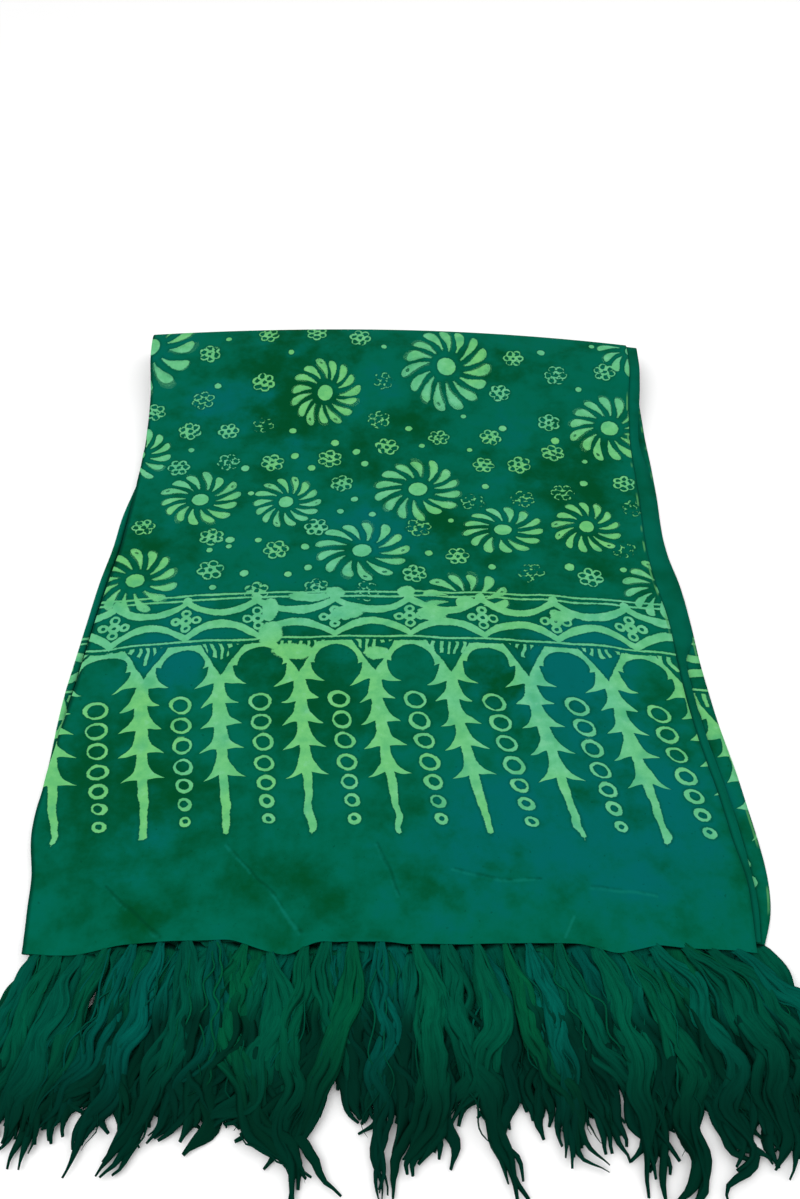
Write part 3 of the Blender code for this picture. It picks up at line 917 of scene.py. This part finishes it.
def printed_cloth():
    """Teal green rayon with a wax-resist print: the dye turns green and blue in patches. Painted shade
    and highlight lie along its pressed lines, and painted shadow beside the edges above it.
    """
    n = Nodes("printed cloth")
    cloth = n.attribute("cloth")
    phase, along, from_edge = n.parts(n.attribute("border"))
    along = along * 1000.0
    shifted = n.moved(cloth, ELSEWHERE)
    uneven, other = n.noise(cloth, 38.0, 1.0), n.noise(shifted, 42.0, 1.0)
    cloud, mottle = n.noise(cloth, 12.0, 4.0, 0.6), n.noise(shifted, 30.0, 4.0, 0.65)

    ink = n.largest(
        band_ink(n, phase, along, uneven),
        spear_ink(n, phase, along, uneven, other),
        ring_ink(n, phase, along, uneven, other),
        n.smallest(flower_ink(n, n.attribute("bloom")), along - PETALS_REACH),
        small_ink(n, n.attribute("spray"), n.noise(shifted, 170.0, 1.0)),
    )
    ink = ink + (n.noise(cloth, 420.0, 2.0) - 0.5) * 1.7 + (n.noise(cloth, 110.0, 1.0) - 0.5) * 1.5
    wax = n.step(ink, -0.35, 0.35)
    rim = n.step(ink, -3.2, -0.2) * (1.0 - wax)

    green, blue, beside = n.parts(n.attribute("dye"))
    greener = n.step(green * 0.70 + (cloud - 0.5) * 2.6 + (mottle - 0.5) * 1.9, -0.20, 0.95)
    bluer = n.step(blue * 0.9 + (0.5 - cloud) * 2.1 + (0.5 - mottle) * 1.2, 0.08, 0.95)
    # Painted shade along each pressed line (it also dents the bump), and a painted highlight on its lit
    # side.
    crease_dent_and_shade = pressed_lines(n, cloth, uneven, other, 0.0) * n.step(mottle, 0.36, 0.58)
    lit = pressed_lines(n, cloth, uneven, other, LIT_ASIDE) * n.step(mottle, 0.60, 0.40)
    dye = n.coats(
        TEAL,
        (greener, DEEP_GREEN),
        (bluer * 0.85, BLUE_TEAL),
        (n.step(n.noise(cloth, 230.0, 2.0), 0.68, 0.76) * 0.40, DARK_SPECK),
        (rim * 0.45, BESIDE_WAX),
        (crease_dent_and_shade * 0.44, CREASE_PAINTED_SHADE),
        (lit * 0.50, PRESSED_LIT),
        # Painted shadow beside the edge of the layer above, and painted shade along the fold on the
        # left.
        (n.step(beside, 0.0045, 0.0010) * 0.70, EDGE_PAINTED_SHADE),
    )

    tint = n.step(n.noise(shifted, 9.0, 2.0) * 0.8 + green * 0.35 - blue * 0.15, 0.26, 0.62)
    faint = n.step(other + blue * 0.10, 0.55, 0.80)
    mark = n.noise(shifted, 95.0, 3.0, 0.6)
    waxed = n.coats(
        WAX_COOL,
        (tint, WAX_WARM),
        (n.step(mottle, 0.35, 0.75) * 0.40, WAX_MOTTLED),
        (faint * 0.45, WAX_FAINT),
        (n.step(mark, 0.42, 0.66) * 0.34, WAX_DARKER),
        (n.step(mark, 0.44, 0.30) * 0.30, WAX_PALER),
        (n.step(n.noise(cloth, 700.0, 1.0), 0.77, 0.82) * 0.6, PINHOLE),
    )
    worn = n.step(abs(from_edge - 0.0016), 0.0012, 0.0006)
    worn = worn * n.step(uneven, 0.50, 0.60) * n.step(abs(along - 260.0), 30.0, 90.0)
    colour = n.coats(dye, (wax, waxed), (worn * 0.75, WORN_EDGE))
    weave = weave_of(n, cloth)
    height = weave * 0.5 + wax * 0.15 - crease_dent_and_shade * 1.6
    return n.cloth_surface(colour, 0.66 + (weave - 1.0) * 0.12, height, 0.0004)


def selvedge_cloth():
    """The same dyed cloth where it is left plain, beside its selvedge, with painted shadow beside the
    top layer's edge.
    """
    n = Nodes("selvedge cloth")
    cloth = n.attribute("cloth")
    _, _, beside = n.parts(n.attribute("dye"))
    colour = n.coats(
        PLAIN_TEAL,
        (n.step(n.noise(cloth, 14.0, 3.0, 0.55), 0.42, 0.75), PLAIN_DEEP),
        # Painted shadow beside the top layer's edge.
        (n.step(beside, 0.0045, 0.0005) * 0.75, EDGE_PAINTED_SHADE),
    )
    weave = weave_of(n, cloth)
    return n.cloth_surface(colour, 0.68 + (weave - 1.0) * 0.1, weave, 0.0003)


def fringe_yarn():
    """Crinkled yarn, greener or bluer from lock to lock and darker towards its tips, with painted shade
    on the undersides and in the grooves of its ribbons, under the hem, and sooner on the rows that
    others cover.
    """
    n = Nodes("fringe yarn")
    tone, reach, own = n.parts(n.attribute("yarn"))
    fibre = n.attribute("fibre")
    _, upper, _ = n.parts(fibre)
    place = n.moved(n.scaled(fibre, 1.5, 1.5, 30.0), n.joined(own * 40.0, own * 23.0, own))
    grooves = n.noise(place, 1.5, 3.0, 0.6)
    fibres = n.noise(n.scaled(place, 5.0, 5.0, 2.2), 1.5, 3.0, 0.6)
    colour = n.coats(
        YARN_BLUE,
        (tone, YARN_GREEN),
        (n.random(tone * 91.0) * 0.50, YARN_DEEP),
        # Darker towards the tips; the covered rows reach it sooner, as painted shade.
        (n.step(reach, 0.30, 0.74) * 0.92, YARN_TIP),
        # Painted shade under the hem, at the roots of the covered rows.
        (n.step(reach, 0.005, -0.040) * 0.95, YARN_ROOT_SHADE),
        (own * 0.35, YARN_MUTED),
        # Fibre streaks where the fine bump lies low: partly the yarn's grain, partly painted shade.
        (n.step(fibres, 0.58, 0.36) * 0.34, YARN_FIBRE_GRAIN_AND_SHADE),
        # Painted shade in the low grooves of the bump.
        (n.step(grooves, 0.52, 0.34) * 0.30, YARN_GROOVE_SHADE),
        # Painted shade on the underside of each ribbon.
        (n.step(upper, 0.35, -0.35) * 0.60, YARN_UNDERSIDE_SHADE),
    )
    return n.cloth_surface(colour, 0.70 + own * 0.08, grooves + fibres * 0.5, 0.0010)


# The cloth layers


def placed(name, data):
    """A new object in the scene."""
    obj = bpy.data.objects.new(name, data)
    bpy.context.scene.collection.objects.link(obj)
    return obj


def meshed(name, points, faces, material):
    """A new smooth mesh in the scene, of one material."""
    mesh = bpy.data.meshes.new(name)
    mesh.from_pydata(points, [], faces)
    mesh.shade_smooth()
    mesh.materials.append(material)
    return placed(name, mesh)


def normals_of(grid):
    """The way that a grid of points faces, at each of them."""
    by_row, by_column = np.gradient(grid, axis=0), np.gradient(grid, axis=1)
    normal = np.cross(by_column, by_row)
    return normal / np.linalg.norm(normal, axis=-1, keepdims=True)


def shell(name, grid, cloth, material):
    """A closed thin cloth from a grid of outer points. Cloth holds where each point was cut."""
    rows, columns = grid.shape[:2]
    inner = grid - normals_of(grid) * THICKNESS
    count = rows * columns
    index = np.arange(count).reshape(rows, columns)
    outside = np.stack([index[:-1, :-1], index[:-1, 1:], index[1:, 1:], index[1:, :-1]], -1)
    outside = outside.reshape(-1, 4)
    inside = outside[:, ::-1] + count
    border = np.concatenate([index[0], index[1:, -1], index[-1, -2::-1], index[-2:0:-1, 0]])
    following = np.roll(border, -1)
    rim = np.stack([following, border, border + count, following + count], -1)
    points = np.concatenate([grid.reshape(-1, 3), inner.reshape(-1, 3)])
    faces = np.concatenate([outside, inside, rim])
    flat = cloth.reshape(-1, 2)
    return meshed(name, points.tolist(), faces.tolist(), material), np.concatenate([flat, flat])


def across_places(left, right, steps, folds):
    """Places across a layer from its tucked edge round the fold on the left: (across, depth)."""
    across, depth = [], []
    if folds:
        across.append(left + TUCKED_IN)
        depth.append(np.full_like(left, 2 * FOLD_RADIUS))
        for k in range(FOLD_STEPS):
            angle = math.pi * (k / FOLD_STEPS - 0.5)
            across.append(left + FOLD_RADIUS * (1 - math.cos(angle)))
            depth.append(np.full_like(left, FOLD_RADIUS * (1 - math.sin(angle))))
    start = left + (FOLD_RADIUS if folds else 0)
    for k in range(steps + 1):
        across.append(start + (right - start) * k / steps)
        depth.append(np.zeros_like(left))
    return np.stack(across, axis=1), np.stack(depth, axis=1)


def travelled(grid):
    """How far along the cloth each row of a grid lies from the first."""
    steps = np.linalg.norm(np.diff(grid, axis=0), axis=-1)
    return np.concatenate([np.zeros((1, grid.shape[1])), np.cumsum(steps, axis=0)])


def over_turn(shares):
    """Steps from the hem over the loop: shares of the way to its turn, and angles round it."""
    share = np.concatenate([shares, np.ones(TURN_STEPS)])
    angles = math.pi * np.arange(1, TURN_STEPS + 1) / TURN_STEPS
    return share, np.concatenate([np.zeros(len(shares)), angles])[:, None]


def top_layer(material):
    """The layer on top: from the hem over the far loop to the ground, with its fold on the left."""
    share, turned = over_turn(stations_along())
    along_plan = share * TURN_ALONG
    left, right = edge("top_left", along_plan), edge("top_right", along_plan)
    across, depth = across_places(left, right, ACROSS_STEPS, True)
    along, up = outer_face(across, share[:, None], turned, depth)
    cloth_along = share[:, None] * turn(across) + turned / math.pi * CLOTH_OVER_LOOP
    along = along + hem_shift(across, along)
    grid = in_place(across, along, up)
    obj, cloth = shell("top_layer", grid, np.stack([across, cloth_along], -1), material)
    unlined = np.where(share < UNLINED_BELOW, 1.0, 0.0)[:, None]
    # The last value, the distance from the fold on the left, places a painted shade line along that
    # fold.
    add_print(obj.data, cloth, right[:, None] - across + unlined, across - left[:, None])
    return obj


def strip_edge(along):
    """The right edge of the second layer, which widens a little towards the far end."""
    return edge("second_right", along) + STRIP_WIDENS * eased((along / TURN_ALONG - WIDENS_FROM) / 0.16)


def covering(along):
    """Where the second layer's selvedge reaches out over the lower layer: 1 there, 0 elsewhere."""
    return within(along, COVER_FROM, 0.045, COVER_TO, 0.12)


def fainter(along):
    """How much the painted shadow line beside an edge narrows, towards the far end."""
    return FAINT_BESIDE + FAINTER_BESIDE * eased((along - COVER_FROM) / 0.05)


def second_layer(material):
    """The second and third layers, one hairpin of cloth inside the loop. Their selvedges are plain."""
    shares = np.maximum(stations_along()[::3], HEM_SET_BACK / TURN_ALONG)
    shares[1:] = np.maximum(shares[1:], shares[:-1] + 1e-4)
    share, turned = over_turn(shares)
    along_plan = share * TURN_ALONG
    left = edge("top_left", along_plan) + TUCKED_IN
    inner, covers = strip_edge(along_plan), covering(along_plan)
    right = inner + covers * (edge("lower_right", along_plan) - inner - COVER_SHORT)
    across, _ = across_places(left, right, SECOND_STEPS, False)
    along, up = outer_face(across, share[:, None], turned, LAYER_GAP, 0.8)
    droop = eased((across - inner[:, None] + 0.004) / 0.012) * (0.0008 + COVER_DROOP * covers[:, None])
    up = up - np.where(turned > 0, 0, droop)

    back_share = shares[-2::-1]
    back_plan = back_share * TURN_ALONG
    back_left = edge("lower_left", back_plan) + TUCKED_IN
    back_across, _ = across_places(back_left, strip_edge(back_plan), SECOND_STEPS, False)
    back_along = back_share[:, None] * turn(back_across)
    back_up = np.full_like(back_across, LAYER_GAP)
    across = np.concatenate([across, back_across])
    grid = in_place(across, np.concatenate([along, back_along]), np.concatenate([up, back_up]))
    obj, cloth = shell("second_layer", grid, np.stack([across, travelled(grid)], -1), material)
    along_plan = np.concatenate([along_plan, back_plan])
    # How far beyond the top layer's edge, where a painted shadow of that edge lies on this layer.
    above = (edge("top_right", along_plan) - 0.3 * fainter(along_plan))[:, None]
    add_dye(obj.data, cloth, across - above)
    return obj


def lower_layer(material):
    """The layer on the ground, with its fold on the left and its printed edge out on the right."""
    share = stations_along()[::-2]
    along_plan = share * TURN_ALONG
    peeks = within(along_plan, PEEK_FROM, 0.10, PEEK_TO, 0.12)
    left = edge("lower_left", along_plan) - LEFT_PEEK * peeks
    right = edge("lower_right", along_plan)
    across, depth = across_places(left, right, LOWER_STEPS, True)
    along = share[:, None] * (turn(across) - 0.0003)
    out = np.clip((across - right[:, None] + 0.030) / 0.030, 0, 1)
    lift = 0.0012 * out * (0.5 + 0.5 * np.sin(math.tau * along / 0.083 + 1.1))
    grid = in_place(across, along, depth + lift)
    obj, cloth = shell("lower_layer", grid, np.stack([across, along], -1), material)
    # How far beyond the edge of the layer above, on either side: a painted shadow lies along that edge.
    beyond_right = across - edge("second_right", along_plan)[:, None] + fainter(along_plan)[:, None]
    beyond_left = edge("top_left", along_plan)[:, None] - across
    beside = np.where(across > 0, beyond_right, beyond_left)
    shifts = LOWER_BORDER_SHIFT, LOWER_ACROSS_SHIFT
    add_print(obj.data, cloth, right[:, None] - across, beside, *shifts, field=False)
    return obj


# The fringe

FRINGE_REACH = 0.178
Lock = namedtuple("Lock", "start passes passes_along tip tip_along")
# The locks of the top row, in centimetres: where each starts, passes and ends.
TOP_LOCKS = [Lock(*row) for row in (
    (-27.6, -28.9, -5.0, -30.2, -11.0), (-26.0, -27.4, -6.0, -29.4, -12.6),
    (-24.2, -25.6, -6.2, -27.6, -14.2), (-22.3, -23.8, -6.0, -25.8, -15.0),
    (-20.4, -21.4, -5.6, -24.6, -14.0), (-18.3, -19.3, -6.0, -22.4, -16.2),
    (-16.4, -16.2, -6.6, -20.6, -16.6), (-14.3, -13.6, -7.0, -16.6, -13.8),
    (-11.8, -11.6, -8.6, -4.0, -17.2), (-10.0, -9.2, -7.0, -13.2, -13.2),
    (-7.2, -8.0, -8.0, -7.4, -17.4), (-5.6, -5.0, -6.6, -1.6, -11.6),
    (-3.6, -4.2, -6.6, -8.8, -15.8), (-1.5, -1.2, -7.2, -1.4, -17.9),
    (1.2, 2.4, -6.8, 0.4, -17.6), (3.5, 5.0, -7.6, 8.2, -17.0),
    (5.8, 6.4, -6.8, 3.2, -13.4), (8.0, 9.6, -6.8, 13.9, -15.6),
    (9.8, 11.2, -7.0, 11.6, -16.8), (12.1, 14.1, -7.0, 18.0, -12.4),
    (14.9, 16.8, -7.2, 16.4, -17.8), (17.1, 20.0, -7.2, 18.8, -17.6),
    (19.3, 22.9, -7.2, 22.0, -17.2), (21.6, 25.6, -6.6, 25.0, -16.6),
    (23.6, 27.6, -5.8, 29.4, -14.8), (25.4, 29.4, -4.8, 32.0, -12.4),
)]
ROW_INSET = 0.010
LEAN_LEFT = -0.022
LEAN_RIGHT = 0.040
# A row of fringe: its piece and solid, the edges it hangs between, how many locks it has and how
# long they are, and how high and half how wide a lock is at its root and in its body.
Row = namedtuple(
    "Row",
    "name node left right locks start_along shortest longest "
    "root_up body_up root_half body_half offset",
)
FRINGE_ROWS = (
    Row("fringe_lowest", "lower_fringe", "lower_left", "lower_right", 23,
        -0.001, 0.118, 0.136, 0.0014, 0.0018, 0.0140, 0.0150, 0.5),
    Row("fringe_third", "third_fringe", "lower_left", "second_right", 24,
        0.002, 0.121, 0.148, 0.0026, 0.0034, 0.0130, 0.0145, 0.1),
    Row("fringe_second", "second_fringe", "top_left", "second_right", 24,
        -0.003, 0.118, 0.156, 0.0032, 0.0056, 0.0060, 0.0125, 0.8),
    Row("fringe_top", "top_fringe", "top_left", "top_right", len(TOP_LOCKS),
        0.0015, 0, 0, 0.0048, 0.0086, 0.0036, 0.0104, 0.5),
)
RIBBON_SIDES, RIBBONS = 12, 5
WISP_SIDES, WISPS = 4, 2
FRINGE_STEPS = 40
HEAD_LENGTH = 0.007
NARROW_ROOT = 0.010
# The two values below set painted shade on the rows that the top row covers: under the hem at their
# roots, and sooner towards their tips.
SHADED_ROOT = 0.011
COVERED_SHADE_SCALE = 2.2
WIDENS_BY = 0.026
RIDGES = ((3, 0.09), (5, 0.05))
LOWEST_UP = 0.0003
WISPS_SHORTER = 0.88
FRINGE_SEED = 100


def strand_mesh(paths, wide, high, roll, sides, drawn):
    """Rings of points round soft flat strands, their faces, and where each lies in its strand."""
    strands, points = paths.shape[:2]
    ahead = np.gradient(paths, axis=1)
    ahead /= np.linalg.norm(ahead, axis=-1, keepdims=True)
    side = np.cross(ahead, (0, 0, 1.0))
    side /= np.maximum(np.linalg.norm(side, axis=-1, keepdims=True), 1e-6)
    over = np.cross(side, ahead)
    cos, sin = np.cos(roll)[..., None], np.sin(roll)[..., None]
    side, over = side * cos + over * sin, over * cos - side * sin
    out = np.cumsum(np.linalg.norm(np.diff(paths, axis=1, prepend=paths[:, :1]), axis=-1), axis=1)
    around = math.tau * (np.arange(sides) + 0.5) / sides
    size = np.ones((strands, points, sides))
    for count, depth in RIDGES if sides > 6 else ():
        wander = drawn.uniform(-1.2, 1.2, (strands, 1))
        wander = wander * np.sin(out * drawn.uniform(40, 90, (strands, 1)))
        phase = drawn.uniform(0, math.tau, (strands, 1)) + wander
        size += depth * np.sin(count * around + phase[..., None])
    x = np.cos(around) * size * wide[..., None]
    y = np.sin(around) * size * high[..., None]
    rings = paths[:, :, None] + side[:, :, None] * x[..., None] + over[:, :, None] * y[..., None]
    rings[..., 2] = np.maximum(rings[..., 2], LOWEST_UP)
    fibre = np.stack(np.broadcast_arrays(np.cos(around), np.sin(around), out[..., None]), -1)
    index = np.arange(strands * points * sides).reshape(strands, points, sides)
    turned = np.roll(index, -1, axis=2)
    quads = np.stack([index[:, :-1], turned[:, :-1], turned[:, 1:], index[:, 1:]], -1).reshape(-1, 4)
    return rings, fibre, [*quads.tolist(), *index[:, 0, ::-1].tolist(), *index[:, -1].tolist()]


def through(lock, share):
    """Places along a curve from a lock's start, through where it passes, to its tip."""
    start = np.array([lock.start, 0.0])
    passes = np.array([lock.passes, lock.passes_along])
    tip = np.array([lock.tip, lock.tip_along])
    first, second = np.linalg.norm(passes - start), np.linalg.norm(tip - passes)
    at = first / (first + second)
    bend = (passes - (1 - at) ** 2 * start - at**2 * tip) / (2 * at * (1 - at))
    share = share[..., None]
    return ((1 - share) ** 2 * start + 2 * share * (1 - share) * bend + share**2 * tip) / 100


def lock_strands(lock, row, drawn, sides):
    """The ribbons of one lock, or its wisps: paths, half widths, half heights, roll and values."""
    ribbons = sides == RIBBON_SIDES
    count = RIBBONS if ribbons else WISPS

    def each(low, high):
        return drawn.uniform(low, high, (count, 1))

    share = np.linspace(0, 1, FRINGE_STEPS + 1)[None, :] ** 1.15 * each(0.84, 1.03)
    share = share * (1.0 if ribbons else WISPS_SHORTER)
    # This draw has no use. It stays so that those after it give the same fringe.
    each(0, 1)
    centre = through(lock, share)
    heading = np.gradient(centre, axis=1)
    length = np.linalg.norm(heading, axis=-1, keepdims=True)
    aside = np.stack([-heading[..., 1], heading[..., 0]], -1) / length
    out = np.cumsum(length[..., 0], axis=1) - length[..., 0]

    def waving(heights, lengths):
        height = drawn.uniform(*heights)
        return height * np.sin(math.tau * out / drawn.uniform(*lengths) + drawn.uniform(0, math.tau))

    widening = 1 - np.exp(-((out / WIDENS_BY) ** 1.5))
    knot = np.exp(-(((out - 0.6 * HEAD_LENGTH) / (0.4 * HEAD_LENGTH)) ** 2))
    narrowing = 1 - drawn.uniform(0.1, 0.5) * eased((share - 0.5) / 0.5)
    root_half = row.root_half * drawn.uniform(0.7, 1.4)
    body_half = row.body_half * drawn.uniform(0.8, 1.25)
    half = (root_half + (body_half - root_half) * widening) * narrowing * (1 - 0.15 * knot)
    if ribbons:
        lane = (np.arange(count)[:, None] - (count - 1) / 2) / count * 1.5 + each(-0.15, 0.15)
        stacked = 0.9 * np.cos(1.9 * lane) - 0.4 + each(-0.2, 0.2)
        wide = half * each(0.30, 0.56)
        high = (0.0008 + 0.0019 * widening) * each(0.8, 1.25) * (1 - 0.3 * share**3)
        swing, wave = each(0.0010, 0.0030), each(0.038, 0.075)
        roll = each(-0.6, 0.6) + each(0.3, 0.9) * np.sin(out * each(35, 70) + each(0, math.tau))
    else:
        lane = each(-0.95, 0.95)
        stacked = each(0.2, 1.0)
        wide = each(0.00060, 0.00105) * np.ones_like(out)
        high = wide * 0.8
        swing, wave = each(0.0015, 0.0036), each(0.022, 0.050)
        roll = np.zeros_like(out)
    top = row.name == "fringe_top"
    pointed = 1 - 0.80 * eased((share / share[:, -1:] - 0.84) / 0.16) ** 1.5
    starting = 0.35 + 0.65 * eased(out / 0.004)
    wide = wide * pointed * (starting if row.root_half < NARROW_ROOT else 1)
    high = high * (0.5 + 0.5 * pointed) * starting
    wander = swing * widening * np.sin(math.tau * out / wave + each(0, math.tau))
    stray = drawn.normal(0, 0.003, (count, 1)) * share**3
    crimp, phase = drawn.uniform(0.014, 0.028), drawn.uniform(0, math.tau)
    crimped = each(0.0002, 0.0007) * widening * np.sin(math.tau * out / crimp + phase + each(-0.8, 0.8))
    bend, curl = waving((0.0015, 0.0050), (0.055, 0.11)), waving((0.0010, 0.0034), (0.034, 0.060))
    bend = bend * widening + curl * eased((share - 0.25) / 0.4)
    flat = centre + aside * (bend + half * lane + wander + stray + crimped)[..., None]

    at_hem = np.array([lock.start / 100]), np.zeros(1)
    shift = hem_shift(*at_hem)[0]
    root = (shift if top else max(shift, 0.0)) + row.start_along - 0.0012 * each(0, 1)
    root_up = row.root_up + (relief(*at_hem)[0] if top else 0)
    body_up = row.body_up + drawn.uniform(-0.0010, 0.0018)
    up = root_up + (body_up - root_up) * eased(out / 0.030)
    fall = np.clip((share - 0.45) / 0.55, 0, 1) ** 1.2
    up = up * (1 - fall) + 0.0028 * fall
    up = up + stacked * (0.0003 + 0.0036 * widening) * (1 - 0.4 * share)
    up = up + 0.0013 * knot + crimped * 0.8
    up = up + 0.0007 * widening * np.sin(math.tau * out / wave * 1.3 + phase)
    paths = in_place(flat[..., 0], flat[..., 1] + root, up)
    tone, own = drawn.uniform(0, 1), each(0, 1)
    # The covered rows reach the darker tip colour sooner and read below zero at the root under the hem:
    # both are painted shade.
    reach = (out if top else COVERED_SHADE_SCALE * out - SHADED_ROOT) / FRINGE_REACH
    roll = roll * eased(out / 0.022)
    return paths, wide, high, roll, np.stack(np.broadcast_arrays(tone, reach, own), -1)


def random_locks(row, drawn):
    """The locks of a row that others cover: a fan of them, tangled at their ends."""
    left = edge(row.left, np.array(0.0)) + ROW_INSET
    right = edge(row.right, np.array(0.0)) - ROW_INSET
    locks = []
    for lock in range(row.locks):
        share = min(max((lock + row.offset + drawn.uniform(-0.22, 0.22)) / row.locks, 0.01), 0.99)
        lean = LEAN_LEFT * (1 - 2 * share) if share < 0.5 else LEAN_RIGHT * (2 * share - 1)
        length = drawn.uniform(row.shortest, row.longest)
        start = left + (right - left) * share
        passes = start + lean * 0.75 + drawn.normal(0, 0.006)
        tip = start + lean + drawn.normal(0, 0.022)
        locks.append(Lock(*(100 * value for value in (start, passes, -0.5 * length, tip, -length))))
    return locks


def fringe_row(row, level, material):
    """One fringed edge: locks of soft flat ribbons, gathered at the hem, with loose wisps."""
    drawn = np.random.default_rng(FRINGE_SEED + level)
    locks = random_locks(row, drawn) if row.shortest else TOP_LOCKS
    points, fibres, values, faces, count = [], [], [], [], 0
    for sides in (RIBBON_SIDES, WISP_SIDES):
        made = [lock_strands(lock, row, drawn, sides) for lock in locks]
        paths, wide, high, roll, yarn = (np.concatenate(part) for part in zip(*made))
        rings, fibre, quads = strand_mesh(paths, wide, high, roll, sides, drawn)
        points.append(rings.reshape(-1, 3))
        fibres.append(fibre.reshape(-1, 3))
        values.append(np.repeat(yarn.reshape(-1, 3), sides, axis=0))
        faces += [[corner + count for corner in face] for face in quads]
        count += len(points[-1])
    obj = meshed(row.name, np.concatenate(points).tolist(), faces, material)
    give(obj.data, "yarn", np.concatenate(values))
    give(obj.data, "fibre", np.concatenate(fibres))
    return obj


# Camera, light and floor

LENS = 31.53
CAMERA_PLACE = (-0.0015, -0.675, 0.774)
CAMERA_TILT = 43.2
SENSOR = 36.0
FLOOR_HALF = 4.0
FLOOR_DOWN = 0.0002
SKY_STRENGTH = 0.92


def look():
    """The camera, as fitted to the outline in the photograph."""
    data = bpy.data.cameras.new("camera")
    data.lens = LENS
    data.sensor_width = SENSOR
    data.clip_start, data.clip_end = 0.01, 50
    camera = placed("camera", data)
    camera.location = CAMERA_PLACE
    camera.rotation_euler = (math.radians(CAMERA_TILT), 0, 0)
    bpy.context.scene.camera = camera


def area_light(name, place, target, size, power):
    data = bpy.data.lights.new(name, "AREA")
    data.size, data.energy = size, power
    light = placed(name, data)
    light.location = place
    light.rotation_euler = (Vector(target) - Vector(place)).to_track_quat("-Z", "Y").to_euler()


def studio():
    """A plain pale floor and soft light, mostly from above and behind the camera."""
    scene = bpy.context.scene
    scene.view_settings.view_transform = "Standard"
    world = bpy.data.worlds.new("studio")
    world.use_nodes = True
    background = world.node_tree.nodes["Background"]
    background.inputs["Color"].default_value = (1.0, 1.0, 1.0, 1.0)
    background.inputs["Strength"].default_value = SKY_STRENGTH
    scene.world = world
    area_light("key", (-1.1, -0.9, 2.0), (0, 0, 0), 1.6, 16)
    area_light("fill", (1.4, 0.6, 1.8), (0, 0.1, 0), 1.8, 6)
    pale = {"Base Color": (0.98, 0.98, 0.98, 1), "Roughness": 0.9, "Specular IOR Level": 0.1}
    corners = [(x * FLOOR_HALF, y * FLOOR_HALF, 0) for x, y in ((-1, -1), (1, -1), (1, 1), (-1, 1))]
    floor = meshed("floor", corners, [(0, 1, 2, 3)], Nodes("floor").surface(pale))
    floor.location.z = -FLOOR_DOWN


def dress():
    """Makes every piece, sets what it rides on, and hides the solid it stands for."""
    printed, plain, yarn = printed_cloth(), selvedge_cloth(), fringe_yarn()
    top, second, lower = top_layer(printed), second_layer(plain), lower_layer(printed)
    rows = [fringe_row(row, level, yarn) for level, row in enumerate(FRINGE_ROWS)]
    for piece, node, slot in (
        (top, "top_leaf", "printed_cloth"),
        (second, "folded_layers", "selvedge_cloth"),
        (lower, "lower_leaf", "printed_cloth"),
    ):
        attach(piece, "root")
        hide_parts(node)
    for piece, row in zip(rows, FRINGE_ROWS):
        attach(piece, "root")
        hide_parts(row.node)


look()
studio()
dress()
